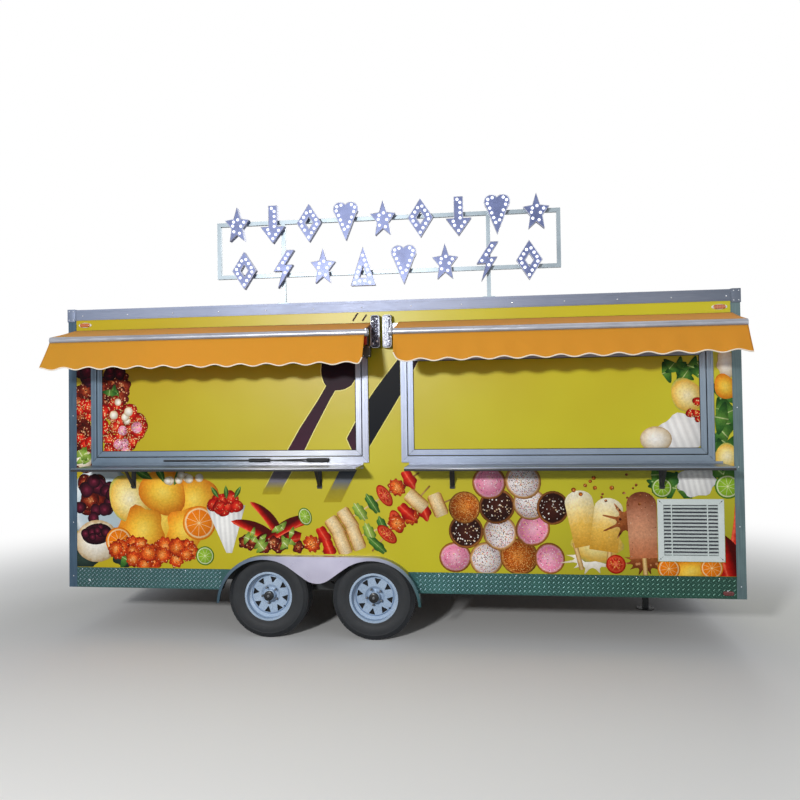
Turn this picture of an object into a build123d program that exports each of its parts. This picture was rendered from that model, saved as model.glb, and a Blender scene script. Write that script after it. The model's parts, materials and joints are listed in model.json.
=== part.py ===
from build123d import *
from math import acos, atan2, cos, degrees, hypot, radians, sin, sqrt
import os

os.makedirs("parts", exist_ok=True)

# Food trailer, in millimetres. While it is built, x = 0 is the middle of the
# body and +x the towing end, y = 0 is the outer face of the serving wall and
# +y the far side, and z = 0 is the ground. The last lines shift every node so
# that the origin lies on the ground under the middle of the overall box.

# Body
body_length = 5560.0
half = body_length / 2
body_width = 2440.0
body_bottom = 405.0
body_top = 2795.0
wall = 50.0
roof_thick = 45.0
deck_thick = 30.0
frame_depth = 140.0
skirt_thick = 3.0
rail_height = 88.0
rail_bottom = body_top - rail_height
rail_proud = 6.0
rail_flange = 60.0
rail_sheet = 3.0
post_width = 68.0
post_proud = 4.0
seat_gap = 0.3

# Chassis
main_rail = (60.0, 120.0)
main_rail_inset = 315.0
cross_size = (50.0, 100.0)
rim_width = 50.0
socket_size = 70.0
socket_bore = 60.0
socket_length = 400.0
socket_spread = 700.0
socket_pin_r = 8.25
socket_pin_inset = 80.0
leg_end_inset = 530.0
cross_insets = (660.0, 1220.0)
cross_ahead = 550.0
cross_ahead_count = 4
socket_cross_inset = 220.0
leg_tube = 60.0
leg_inner = 50.0
leg_foot = (160.0, 8.0)
leg_sleeve_bottom = 210.0

# Wheels and axles
tyre_radius = 344.0
tyre_width = 205.0
rim_seat_r = 190.5
rim_flange_r = 208.0
rim_half = 88.0
hub_bore_r = 17.05
spindle_r = 17.0
drum_r = 130.0
axle_r = 30.0
wheel_inset = 30.0
axle_centre = -578.0
axle_spacing = 896.0
leaf_half = 320.0
leaf_width = 45.0
leaf_thick = 8.0
leaf_rise = 46.0
leaf_curve = (leaf_half ** 2 + leaf_rise ** 2) / (2 * leaf_rise)
leaf_shares = (1.0, 0.74, 0.48)
drum_depth = (6.0, 66.0)
spindle_out = 52.0
seat_half = 28.0
tread_grooves = (44.0, 0.0, -44.0)
groove = (10.0, 7.0)
disc_sheet = 4.0
rim_well_r = 168.0
hand_holes = 8
hand_hole_turn = 10.5
hand_hole_r = (97.0, 150.0)
hand_hole_half = 29.0
hub_r = 45.0
cap_reach = 62.0

# Wheel arches and fenders
arch_outer_r = 405.0
arch_outer_z = 297.0
arch_inner_r = 385.0
arch_inner_z = 289.0
fender_tip_z = 312.0
fender_drop_z = 484.0
fender_drop_r = 175.0
fender_reach = 76.0
fender_sheet = 3.0
arch_lap = 5.0
well_end = 430.0
well_depth = 300.0
well_top = 750.0

# Serving windows: outer corners of the fixed frames
window_end_inset = 210.0
window_rear = (-half + window_end_inset, -145.0)
window_front = (126.0, half - window_end_inset)
window_bottom = 1466.0
window_top = 2395.0
frame_band = 50.0
frame_proud = 18.0
frame_rib = 4.0
liner = 4.0
rough_lap = 35.0
hatch_gap = 8.0
hatch_band = 46.0
hatch_thick = 40.0
hatch_proud = 20.0
hatch_panel_back = 5.0
hinge_r = 6.0
hinge_pin_r = 3.0
hinge_bore_r = 3.05
hinge_out = 8.0
knuckle = 70.0
knuckle_gap = 1.0
hinge_places = (-0.42, 0.0, 0.42)

# Shelves under the windows
shelf_rear = (-half + 210.0, -194.0)
shelf_front = (186.0, half - 150.0)
shelf_top = window_bottom - 17.0
shelf_depth = 331.0
shelf_lip = 18.0
shelf_sheet = 2.5
shelf_axis_out = 38.0
shelf_axis_drop = 18.0
shelf_ledge = 8.0
shelf_back_gap = 6.0
strut_reach = 130.0
strut_width = 24.0
strut_thick = 8.0
strut_foot_r = 5.0
strut_plate = (40.0, 145.0, 6.0)
strut_plate_top = shelf_top - 53.0
strut_axis_z = shelf_top - 179.0
strut_axis_out = 15.0
strut_places = {"rear": (shelf_rear[0] + 380.0, shelf_rear[1] - 369.0),
                "front": (shelf_front[0] + 349.0, shelf_front[1] - 460.0)}

# Awnings: reach and height of the lead bar and of the hem
awning_end_inset = 58.0
awning_rear = (-half + awning_end_inset, -105.0)
awning_front = (118.0, half - awning_end_inset)
awning_wall_z = rail_bottom - 89.0
awning_bar_y = 362.0
awning_bar_z = awning_wall_z - 118.0
awning_bar_r = 28.0
awning_hem_y = 492.0
awning_hem_z = awning_bar_z - 238.0
awning_cloth = 5.0
awning_back = 6.0
awning_rail = (40.0, 46.0)
bracket_width = 68.0
bracket_x = ((awning_rear[1], awning_rear[1] + bracket_width), (-7.0, -7.0 + bracket_width))
bracket_depth = 75.0
bracket_high_z = rail_bottom - 39.0
bracket_low_z = bracket_high_z - 263.0
arm_length = 620.0
arm_section = (22.0, 30.0)
gearbox_size = (64.0, 64.0, 86.0)
gearbox_gap = 3.0
gearbox_back = 40.0
gearbox_low_z = bracket_low_z - 76.0
gearbox_arm = (26.0, 30.0)

# Roof sign
sign_half = 1432.0
sign_low_z = body_top + 242.0
sign_high_z = sign_low_z + 447.0
sign_tube = 32.0
sign_post_x = 855.0
sign_y = 24.0
shape_height = 316.0
shape_width = 205.0
shape_depth = 50.0
shape_stroke = 72.0
sign_rows = [
    # centre height, how far the row's ends lie from the middle, shapes along it
    (sign_high_z - 27.0, sign_half - 192.0, ("star", "arrow", "diamond", "heart", "star", "diamond", "arrow",
                                                 "heart", "star")),
    (sign_low_z + 42.0, sign_half - 252.0, ("diamond", "bolt", "star", "triangle", "heart", "star", "bolt",
                                                "diamond")),
]

# Louvred vent
vent_end_inset = 150.0
vent_width = 497.0
vent_height = 483.0
vent_low = 689.0
vent_x = (half - vent_end_inset - vent_width, half - vent_end_inset)
vent_z = (vent_low, vent_low + vent_height)
vent_frame = 45.0
vent_proud = 5.5
vent_collar = 10.0
vent_collar_depth = 30.0
vent_blades = 14
vent_blade_depth = 27.0
vent_blade_thick = 3.0
vent_blade_tilt = 40.0
vent_blade_set = 9.0
vent_rib_shares = (0.15, 0.81)

# Lock bar: how far it stands out and up from the sill, and its clips from the window's inner edge
lock_bar_rise = 22.0
lock_bar_out = 12.0
lock_bar_clips = (1715.0, 1155.0, 430.0)

# Rear entry door
door_width = 880.0
door_y = (body_width / 2 - door_width / 2, body_width / 2 + door_width / 2)
door_top = 2480.0
door_thick = 40.0
door_gap = 8.0
door_trim = 45.0
door_proud = 14.0
door_hinge_r = 9.0
door_pin_r = 5.0
door_pin_bore_r = 5.05
door_hinge_z = (800.0, 1560.0, 2320.0)

# Derived levels
frame_top = body_bottom + frame_depth
deck_top = frame_top + deck_thick
roof_bottom = body_top - roof_thick
wheel_x = {"rear": axle_centre - axle_spacing / 2, "front": axle_centre + axle_spacing / 2}
wheel_y = {"serving": wheel_inset + tyre_width / 2, "far": body_width - wheel_inset - tyre_width / 2}
well_x = (wheel_x["rear"] - well_end, wheel_x["front"] + well_end)
middle_y = body_width / 2
leg_x = half - leg_end_inset
ahead_start = wheel_x["front"] + cross_ahead
ahead_step = (leg_x - ahead_start) / (cross_ahead_count - 1)
outrigger_x = {"rear": [-half + inset for inset in cross_insets],
               "front": [ahead_start + ahead_step * i for i in range(cross_ahead_count)]}
socket_cross_x = half - socket_cross_inset
cross_x = outrigger_x["rear"] + [axle_centre] + outrigger_x["front"] + [socket_cross_x]

nodes = {}


def block(x, y, z):
    """A box between two limits on each axis."""
    size = Box(x[1] - x[0], y[1] - y[0], z[1] - z[0])
    return Pos((x[0] + x[1]) / 2, (y[0] + y[1]) / 2, (z[0] + z[1]) / 2) * size


def rod(start, end, radius):
    """A round bar from one point to another."""
    path = Vector(*end) - Vector(*start)
    low_end = (Align.CENTER, Align.CENTER, Align.MIN)
    return Plane(origin=start, z_dir=path) * Cylinder(radius, path.length, align=low_end)


def bar_x(x, y, z, radius):
    """A round bar along x."""
    return rod((x[0], y, z), (x[1], y, z), radius)


def outline(points):
    """A flat face with straight sides."""
    return make_face(Polyline(*points, close=True))


def join(shapes):
    """Every shape of a list in one node."""
    total = shapes[0]
    for shape in shapes[1:]:
        total = total + shape
    return total


def far_side(shape):
    """The same piece mirrored to the far side of the body."""
    return mirror(shape, Plane.XZ.offset(-middle_y))


# Wheel arches

def arch_area(shrink):
    """Outline over both wheels, drawn in x and z, reduced all round by shrink."""
    radius = arch_outer_r - shrink
    width = axle_spacing
    area = Pos(axle_centre, arch_outer_z) * Rectangle(width, 2 * radius)
    for x in wheel_x.values():
        area = area + Pos(x, arch_outer_z) * Circle(radius)
    return area


def arch_cut(y, shrink):
    """The arch outline as a solid that cuts from y[0] to y[1]."""
    return Pos(0, y[0], 0) * extrude(Plane.XZ * arch_area(shrink), -(y[1] - y[0]))


def fender_drop():
    """Outline of the web below the arches: a round drop that runs into both wheel circles."""
    drop_z = fender_drop_z + fender_drop_r
    to_wheel = Vector(axle_spacing / 2, arch_inner_z - drop_z)
    turn = atan2(to_wheel.Y, to_wheel.X) - acos((arch_inner_r + fender_drop_r) / to_wheel.length)
    on_drop = (fender_drop_r * cos(turn), drop_z + fender_drop_r * sin(turn))
    on_wheel = (axle_spacing / 2 - arch_inner_r * cos(turn), arch_inner_z - arch_inner_r * sin(turn))
    top = arch_inner_z + arch_inner_r
    side = [on_drop, on_wheel, (axle_spacing / 2, arch_inner_z), (axle_spacing / 2, top)]
    flanks = outline(side + [(-x, z) for x, z in reversed(side)])
    bottom = Pos(0, drop_z) * Circle(fender_drop_r)
    bottom = bottom & Pos(0, (on_drop[1] + fender_drop_z) / 2 - 5) * Rectangle(
        2 * fender_drop_r, on_drop[1] - fender_drop_z + 10)
    return Pos(axle_centre, 0) * (flanks + bottom)


def fender():
    """Tandem fender: a band off the wall with a flange at its edge, and a web between the wheels."""
    ground = Pos(axle_centre, fender_tip_z / 2 - 500) * Rectangle(2 * body_length, fender_tip_z + 1000)
    band = arch_area(0) - arch_area(fender_sheet) - ground
    wheels = [Pos(x, arch_inner_z) * Circle(arch_inner_r) for x in wheel_x.values()]
    top = arch_outer_z + arch_outer_r
    low = arch_inner_z + arch_inner_r - 1
    strip = Pos(axle_centre, (top + low) / 2) * Rectangle(axle_spacing, top - low)
    crown = arch_area(fender_sheet / 2) & strip
    between = Pos(axle_centre, top / 2) * Rectangle(axle_spacing, 2 * top)
    flange = arch_area(0) - ground - between
    web = flange + crown + fender_drop()
    for wheel in wheels:
        web = web - wheel
    sheet = extrude(Plane.XZ * band, fender_reach)
    face = Pos(0, -(fender_reach - fender_sheet), 0) * extrude(Plane.XZ * web, fender_sheet)
    return sheet + face


# Chassis

def rim_frame():
    """Perimeter channels with outriggers, interrupted at the wheels."""
    z = (body_bottom, frame_top)
    rail_face = main_rail_inset - main_rail[0] / 2
    cut = arch_cut((-10, rim_width + 10), arch_lap)
    pieces = []
    for side, sign in (("rear", -1), ("front", 1)):
        end = sorted((sign * half, sign * (half - rim_width)))
        ring = block(end, (0, body_width), z)
        x = sorted((sign * half, wheel_x[side]))
        rail = block(x, (0, rim_width), z) - cut
        outriggers = [block((c - cross_size[0] / 2, c + cross_size[0] / 2), (rim_width, rail_face),
                            (frame_top - cross_size[1], frame_top)) for c in outrigger_x[side]]
        long_side = join([rail] + outriggers)
        pieces.append(ring + long_side + far_side(long_side))
    return join(pieces)


def main_rails():
    """The two box-section rails that the springs hang from."""
    y = (main_rail_inset - main_rail[0] / 2, main_rail_inset + main_rail[0] / 2)
    x = (-half + rim_width, half - rim_width)
    rail = block(x, y, (frame_top - main_rail[1], frame_top))
    hollow = block(x, (y[0] + 4, y[1] - 4), (frame_top - main_rail[1] + 4, frame_top - 4))
    rail = rail - hollow
    return rail + far_side(rail)


def cross_members():
    """Channels between the main rails, open towards the rear."""
    y = (main_rail_inset + main_rail[0] / 2, body_width - main_rail_inset - main_rail[0] / 2)
    width, height = cross_size
    members = []
    for x in cross_x:
        beam = block((x - width / 2, x + width / 2), y, (frame_top - height, frame_top))
        beam = beam - block((x - width / 2, x + width / 2 - 6), y, (frame_top - height + 6, frame_top - 6))
        members.append(beam)
    return join(members)


def drawbar_sockets():
    """Two square receiver tubes under the front for the removable drawbar."""
    low = body_bottom - socket_size
    tubes = []
    for sign in (-1, 1):
        y = middle_y + sign * socket_spread / 2
        inset = (socket_size - socket_bore) / 2
        x = (half - socket_length, half)
        tube = block(x, (y - socket_size / 2, y + socket_size / 2), (low, body_bottom))
        tube = tube - block(x, (y - socket_bore / 2, y + socket_bore / 2), (low + inset, body_bottom - inset))
        pin = rod((half - socket_pin_inset, y, low - 10), (half - socket_pin_inset, y, body_bottom + 10),
                  socket_pin_r)
        pad = block((socket_cross_x - 25, socket_cross_x + 25), (y - 30, y + 30),
                    (body_bottom, frame_top - cross_size[1]))
        tubes.append(tube - pin + pad)
    return join(tubes)


def front_leg():
    """Drop leg under the front crossmember, with its foot on the ground."""
    top = frame_top - cross_size[1]
    t, n = leg_tube / 2, leg_inner / 2
    sleeve = block((leg_x - t, leg_x + t), (middle_y - t, middle_y + t), (leg_sleeve_bottom, top - 8))
    head = block((leg_x - 55, leg_x + 55), (middle_y - 55, middle_y + 55), (top - 8, top))
    inner = block((leg_x - n, leg_x + n), (middle_y - n, middle_y + n), (leg_foot[1], leg_sleeve_bottom))
    foot = Pos(leg_x, middle_y, leg_foot[1] / 2) * Cylinder(leg_foot[0] / 2, leg_foot[1])
    pin_z = leg_sleeve_bottom + 30
    pin = rod((leg_x, middle_y - 48, pin_z), (leg_x, middle_y + 48, pin_z), 7)
    return sleeve + head + inner + foot + pin


# Axles and springs

def axle(x):
    """Tube with a spindle and a brake backing plate at each end."""
    ends = wheel_y["serving"], wheel_y["far"]
    back = drum_depth[1] + 4
    tube = rod((x, ends[0] + back, tyre_radius), (x, ends[1] - back, tyre_radius), axle_r)
    spindle = rod((x, ends[0] - spindle_out, tyre_radius), (x, ends[1] + spindle_out, tyre_radius), spindle_r)
    pieces = [tube, spindle]
    for y, sign in ((ends[0], 1), (ends[1], -1)):
        pieces.append(rod((x, y + sign * back, tyre_radius), (x, y + sign * (back + 5), tyre_radius), drum_r))
        plate_y = y + sign * (back + 5), y + sign * (back + 30)
        pieces.append(rod((x, plate_y[0], tyre_radius), (x, plate_y[1], tyre_radius), 48))
    seat = tyre_radius - axle_r
    seat_low = seat + seat_half ** 2 / (2 * leaf_curve)
    for y in (main_rail_inset, body_width - main_rail_inset):
        pieces.append(block((x - seat_half, x + seat_half), (y - 22, y + 22), (seat_low, seat + 18)))
    return join(pieces)


def leaf(x, half_length, layer):
    """One curved leaf under the axle, counted from the top."""
    top = tyre_radius - axle_r
    inner = leaf_curve + layer * leaf_thick
    outer = inner + leaf_thick
    ring = Circle(outer) - Circle(inner)
    window = Pos(0, -leaf_curve) * Rectangle(2 * half_length, 200)
    sector = Pos(x, top + leaf_curve) * (ring & window)
    return Pos(0, main_rail_inset + leaf_width / 2, 0) * extrude(Plane.XZ * sector, leaf_width)


def spring_side():
    """Two leaf packs, the equaliser between them and their hangers, as one bolted group."""
    low = frame_top - main_rail[1]
    eye_z = tyre_radius - axle_r + leaf_rise
    y = (main_rail_inset - leaf_width / 2, main_rail_inset + leaf_width / 2)
    pieces = []
    for x in wheel_x.values():
        for layer, share in enumerate(leaf_shares):
            pieces.append(leaf(x, leaf_half * share, layer))
        plate_z = tyre_radius - axle_r - 3 * leaf_thick
        pieces.append(block((x - 55, x + 55), (y[0] - 8, y[1] + 8), (plate_z - 10, plate_z + 2)))
        for side in (-1, 1):
            centre = main_rail_inset + side * (leaf_width / 2 + 4)
            loop = Circle(axle_r + 9) - Circle(axle_r + seat_gap)
            loop = loop & Pos(0, 50) * Rectangle(200, 100)
            loop = Pos(x, tyre_radius) * loop
            pieces.append(Pos(0, centre + 4, 0) * extrude(Plane.XZ * loop, 8))
            for leg in (-1, 1):
                lx = x + leg * (axle_r + 5)
                pieces.append(block((lx - 4, lx + 4), (centre - 4, centre + 4), (plate_z - 14, tyre_radius)))
    eyes = (wheel_x["rear"] - leaf_half, wheel_x["rear"] + leaf_half,
            wheel_x["front"] - leaf_half, wheel_x["front"] + leaf_half)
    for x in eyes:
        pieces.append(rod((x, y[0], eye_z), (x, y[1], eye_z), 17))
    for x in (eyes[0], eyes[3]):
        for side in (y[0] - 6, y[1]):
            pieces.append(block((x - 24, x + 24), (side, side + 6), (eye_z - 24, low)))
    rocker = outline([(eyes[1], eye_z - 14), (eyes[2], eye_z - 14), (eyes[2], eye_z + 12),
                      (axle_centre + 20, low - 8), (axle_centre - 20, low - 8), (eyes[1], eye_z + 12)])
    pieces.append(Pos(0, y[1] - 6, 0) * extrude(Plane.XZ * rocker, leaf_width - 12))
    pieces.append(block((axle_centre - 30, axle_centre + 30), (y[0] - 6, y[1] + 6), (low - 10, low)))
    return join(pieces)


# Wheels

def tyre():
    """Radial tyre: two beads, bulged sidewalls and a grooved tread."""
    r0, r1 = rim_seat_r, tyre_radius
    w = tyre_width / 2
    bead = rim_half - 12
    bulge = r0 + 0.42 * (r1 - r0)
    half_profile = [(r0, bead), (rim_flange_r + 10, bead + 8), (bulge, w), (r1 - 34, w - 3), (r1 - 9, w - 16),
                    (r1, w - 32)]
    grooves = []
    for centre in tread_grooves:
        grooves += [(r1, centre + groove[0] / 2), (r1 - groove[1], centre + groove[0] / 2 - 2),
                    (r1 - groove[1], centre - groove[0] / 2 + 2), (r1, centre - groove[0] / 2)]
    mirrored = [(r, -y) for r, y in reversed(half_profile)]
    inner = [(r0, -bead + 16), (bulge, -w + 14), (r1 - 18, -w + 26), (r1 - 18, w - 26), (bulge, w - 14),
             (r0, bead - 16)]
    profile = outline(half_profile + grooves + mirrored + inner)
    return revolve(profile, Axis.Y)


def wheel_rim():
    """Steel wheel: rim, dished disc with eight hand holes, hub, cap and brake drum. -y is outboard."""
    sheet, well = disc_sheet, rim_well_r
    seat, lip, b = rim_seat_r, rim_flange_r, rim_half
    barrel = [(lip, -b), (lip, -b + sheet), (seat, -b + sheet + 6), (seat, -34), (well, -22), (well, 40),
              (seat, 52), (seat, b - sheet - 6), (lip, b - sheet), (lip, b), (seat - sheet, b),
              (seat - sheet, 54), (well - sheet, 42), (well - sheet, -20), (seat - sheet, -36),
              (seat - sheet, -b)]
    barrel = revolve(outline(barrel), Axis.Y)
    disc_r = well - sheet / 2
    disc = [(hub_bore_r + 2, -8), (62, -8), (84, -22), (disc_r - 12, -22), (disc_r, -6), (disc_r, 0),
            (disc_r - 10, -17), (82, -17), (60, -3), (hub_bore_r + 2, -3)]
    disc = revolve(outline(disc), Axis.Y)
    inner, outer = hand_hole_r
    hole = outline([(outer, -hand_hole_half), (outer, hand_hole_half), (inner, 0)])
    hole = extrude(Plane.XZ * fillet(hole.vertices(), 4), 60, both=True)
    for i in range(hand_holes):
        disc = disc - Rot(0, hand_hole_turn + 360 / hand_holes * i, 0) * hole
    drum = [(hub_bore_r, -cap_reach + 10), (hub_r, -cap_reach + 10), (hub_r, -8), (hub_r, drum_depth[0]),
            (drum_r, drum_depth[0]), (drum_r, drum_depth[1]), (drum_r - 8, drum_depth[1]),
            (drum_r - 8, drum_depth[0] + 6), (hub_bore_r, drum_depth[0] + 6)]
    drum = revolve(outline(drum), Axis.Y)
    cap = [(0, -cap_reach - 14), (10, -cap_reach - 14), (14, -cap_reach - 10), (hub_r - 8, -cap_reach + 2),
           (hub_r, -cap_reach + 6), (hub_r, -cap_reach + 10), (hub_bore_r, -cap_reach + 10),
           (hub_bore_r, -spindle_out - 1), (0, -spindle_out - 1)]
    cap = revolve(outline(cap), Axis.Y)
    return barrel + disc + drum + cap


# Body panels

def end_wall(x):
    """Front or rear wall between the side walls."""
    return block(x, (wall, body_width - wall), (deck_top, roof_bottom))


def side_wall():
    """Side wall with the wheel arch cut out of its lower edge."""
    panel = block((-half, half), (0, wall), (deck_top, roof_bottom))
    return panel - arch_cut((-10, wall + 10), arch_lap)


def wall_serving():
    """Serving wall with both window openings and the vent opening."""
    panel = side_wall()
    for x in (window_rear, window_front):
        panel = panel - block((x[0] + rough_lap, x[1] - rough_lap), (-10, wall + 10),
                              (window_bottom + rough_lap, window_top - rough_lap))
    inset = vent_frame - vent_collar
    return panel - block((vent_x[0] + inset, vent_x[1] - inset), (-10, wall + 10),
                         (vent_z[0] + inset, vent_z[1] - inset))


def floor_deck():
    """Floor with a notch for each wheel box."""
    deck = block((-half, half), (0, body_width), (frame_top, deck_top))
    notch = block(well_x, (-10, well_depth), (frame_top - 10, deck_top + 10))
    return deck - notch - far_side(notch)


def wheel_box():
    """Sheet box over the wheels, inside the cabin."""
    sheet = 3.0
    outer = block(well_x, (wall, well_depth), (frame_top, well_top))
    inner = block((well_x[0] + sheet, well_x[1] - sheet), (wall - 10, well_depth - sheet),
                  (frame_top - 10, well_top - sheet))
    return outer - inner


def skirt(side):
    """Tread plates round one end of the frame, from the fenders to the corner posts and between the posts."""
    sign = -1 if side == "rear" else 1
    t = skirt_thick
    inset = post_width + seat_gap
    x = sorted((sign * (half - inset), wheel_x[side]))
    end = sorted((sign * (half + t), sign * half))
    z = (body_bottom, deck_top)
    plate = block(x, (-t, 0), z) - arch_cut((-20, 20), -0.5)
    return join([plate, far_side(plate), block(end, (inset, body_width - inset), z)])


def roof_rails():
    """Extruded angle round the roof edge, with two ribs along its face and a cap at each corner."""
    p = rail_proud
    x, y = half + p, body_width + p
    z = (rail_bottom, body_top)
    ring = block((-x, x), (-p, y), z) - block((-half, half), (0, body_width), (rail_bottom - 1, body_top + 1))
    top = body_top, body_top + rail_sheet
    flange = block((-x, x), (-p, y), top)
    opening = (-half + rail_flange, half - rail_flange), (rail_flange, body_width - rail_flange)
    flange = flange - block(*opening, (body_top - 1, body_top + rail_sheet + 1))
    ring = ring + flange
    for rib_z in (rail_bottom + 14, body_top - 14):
        rib = block((-x - 2, x + 2), (-p - 2, y + 2), (rib_z - 4, rib_z + 4))
        ring = ring + (rib - block((-half, half), (0, body_width), (rib_z - 5, rib_z + 5)))
    for sx in (-1, 1):
        for sy in (0, 1):
            cx = sorted((sx * (x + 3), sx * (half - post_width)))
            cy = (-p - 3, post_width) if sy == 0 else (body_width - post_width, y + 3)
            cap = block(cx, cy, (rail_bottom - 2, body_top + rail_sheet + 3))
            ring = ring + (cap - block((-half, half), (0, body_width), (rail_bottom - 3, body_top)))
    return ring


def corner_posts():
    """Angle trims up the four corners, from the foot of the frame to the roof rail."""
    z = (body_bottom, rail_bottom - 2)
    posts = []
    for sx in (-1, 1):
        for sy in (0, 1):
            cx = sorted((sx * (half + post_proud), sx * (half - post_width)))
            cy = (-post_proud, post_width) if sy == 0 else (body_width - post_width, body_width + post_proud)
            posts.append(block(cx, cy, z) - block((-half, half), (0, body_width), z))
    return join(posts)


# Windows

def window_frame(x):
    """Fixed frame: a face band, a jamb liner through the wall and the fixed hinge knuckles."""
    z = (window_bottom, window_top)
    clear_x = (x[0] + frame_band, x[1] - frame_band)
    clear_z = (z[0] + frame_band, z[1] - frame_band)
    face = block(x, (-frame_proud, 0), z) - block(clear_x, (-frame_proud - 1, 1), clear_z)
    rib = block((x[0] + 8, x[1] - 8), (-frame_proud - frame_rib, -frame_proud), (z[0] + 8, z[1] - 8))
    rib = rib - block((x[0] + 18, x[1] - 18), (-frame_proud - frame_rib - 1, -frame_proud + 1),
                      (z[0] + 18, z[1] - 18))
    jamb_x = (x[0] + rough_lap, x[1] - rough_lap)
    jamb_z = (z[0] + rough_lap, z[1] - rough_lap)
    inside = (jamb_x[0] + liner, jamb_x[1] - liner), (-1, wall + 7), (jamb_z[0] + liner, jamb_z[1] - liner)
    jamb = block(jamb_x, (0, wall + 6), jamb_z) - block(*inside)
    frame = face + rib + jamb
    for centre in hinge_centres(x):
        for offset in (-1, 1):
            kx = sorted((centre + offset * (knuckle / 2 + knuckle_gap), centre + offset * (1.2 * knuckle)))
            barrel = bar_x(kx, -hinge_y(), hinge_z(), hinge_r)
            leaf_plate = block(kx, (-hinge_y() - 1, -frame_proud), (hinge_z(), hinge_z() + 24))
            frame = frame + barrel + leaf_plate
        frame = frame + bar_x((centre - knuckle, centre + knuckle), -hinge_y(), hinge_z(), hinge_pin_r)
    return frame


def hinge_y():
    """How far the hatch hinge axis stands out from the wall."""
    return hatch_proud + hinge_out


def hinge_z():
    """Height of the hatch hinge axis, in the gap over the hatch."""
    return window_top - frame_band - hatch_gap / 2


def hinge_centres(x):
    """Middle of each hinge along one window."""
    return [(x[0] + x[1]) / 2 + place * (x[1] - x[0]) for place in hinge_places]


def hatch_limits(x):
    """Outer limits of a hatch in its window."""
    step = frame_band + hatch_gap
    return (x[0] + step, x[1] - step), (window_bottom + step, window_top - step)


def hatch_frame(x):
    """Moving frame of a hatch, ribbed, with its hinge knuckles."""
    hx, hz = hatch_limits(x)
    y = (-hatch_proud, hatch_thick - hatch_proud)
    ring = block(hx, y, hz)
    ring = ring - block((hx[0] + hatch_band, hx[1] - hatch_band), (y[0] - 1, y[1] + 1),
                        (hz[0] + hatch_band, hz[1] - hatch_band))
    rib = block((hx[0] + 14, hx[1] - 14), (y[0] - 3, y[0]), (hz[0] + 14, hz[1] - 14))
    ring = ring + (rib - block((hx[0] + 24, hx[1] - 24), (y[0] - 4, y[0] + 1), (hz[0] + 24, hz[1] - 24)))
    for centre in hinge_centres(x):
        kx = (centre - knuckle / 2, centre + knuckle / 2)
        barrel = bar_x(kx, -hinge_y(), hinge_z(), hinge_r)
        plate = block(kx, (-hinge_y() - 1, y[0]), (hinge_z() - 24, hinge_z()))
        bore = bar_x((kx[0] - 1, kx[1] + 1), -hinge_y(), hinge_z(), hinge_bore_r)
        ring = ring + (barrel + plate - bore)
    return ring


def hatch_panel(x):
    """Sandwich panel that fills a hatch frame, set back from its face."""
    hx, hz = hatch_limits(x)
    y = (-hatch_proud + hatch_panel_back, hatch_thick - hatch_proud - hatch_panel_back)
    return block((hx[0] + hatch_band, hx[1] - hatch_band), y, (hz[0] + hatch_band, hz[1] - hatch_band))


# Shelves

def shelf_rail(x):
    """Ledge on the wall that carries a shelf's hinge, with its upright under the window frame."""
    axis_z = shelf_top - shelf_axis_drop
    ledge = block(x, (-shelf_ledge, 0), (axis_z - 14, window_bottom - seat_gap))
    for place in shelf_hinge_x(x):
        ears = block((place - 45, place + 45), (-shelf_axis_out - 6, -shelf_ledge), (axis_z - 6, axis_z + 6))
        ears = ears - block((place - 20, place + 20), (-shelf_axis_out - 20, -shelf_ledge - 1),
                            (axis_z - 20, axis_z + 20))
        ledge = ledge + ears
        ledge = ledge + bar_x((place - 30, place + 30), -shelf_axis_out, axis_z, 4)
    return ledge


def shelf_hinge_x(x):
    """Middle of each hinge along a shelf."""
    return [x[0] + share * (x[1] - x[0]) for share in (0.12, 0.5, 0.88)]


def shelf(x):
    """Folded sheet tray with lips all round and its hinge knuckles."""
    axis_z = shelf_top - shelf_axis_drop
    back = -shelf_ledge - shelf_back_gap
    front = -shelf_depth
    tray = block(x, (front, back), (shelf_top - shelf_lip, shelf_top))
    pocket = block((x[0] + shelf_sheet, x[1] - shelf_sheet), (front + shelf_sheet, back + 5),
                   (shelf_top - shelf_lip - 1, shelf_top - shelf_sheet))
    tray = tray - pocket
    for place in shelf_hinge_x(x):
        kx = (place - 18, place + 18)
        arm = block(kx, (-shelf_axis_out - 8, -shelf_axis_out + 8), (axis_z, shelf_top - shelf_sheet))
        boss = bar_x(kx, -shelf_axis_out, axis_z, 8) + arm
        tray = tray + (boss - bar_x((kx[0] - 1, kx[1] + 1), -shelf_axis_out, axis_z, 4.05))
    return tray


def strut_geometry():
    """Length of a shelf strut and its angle from straight up, at rest."""
    axis_z = shelf_top - shelf_sheet - strut_thick / 2 - seat_gap
    dy = shelf_axis_out + strut_reach - strut_axis_out
    dz = axis_z - strut_axis_z
    return hypot(dy, dz), degrees(atan2(dy, dz))


def shelf_strut(x):
    """Folding strut from its wall plate to the underside of the shelf."""
    length, angle = strut_geometry()
    flat = block((-strut_width / 2, strut_width / 2), (-strut_thick / 2, strut_thick / 2), (0, length - 6))
    foot = bar_x((-strut_width / 2, strut_width / 2), 0, 0, strut_foot_r)
    bar = flat + foot - bar_x((-strut_width, strut_width), 0, 0, 3.05)
    return Pos(x, -strut_axis_out, strut_axis_z) * Rot(angle, 0, 0) * bar


def strut_mount(x):
    """Wall plate with two ears and the strut's pin."""
    w, h, t = strut_plate
    plate = block((x - w / 2, x + w / 2), (-t, 0), (strut_plate_top - h, strut_plate_top))
    for side in (-1, 1):
        ex = sorted((x + side * (strut_width / 2 + 1), x + side * w / 2))
        plate = plate + block(ex, (-strut_axis_out - 5, -t), (strut_axis_z - 7, strut_axis_z + 7))
    return plate + bar_x((x - w / 2, x + w / 2), -strut_axis_out, strut_axis_z, 3)


# Awnings

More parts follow.
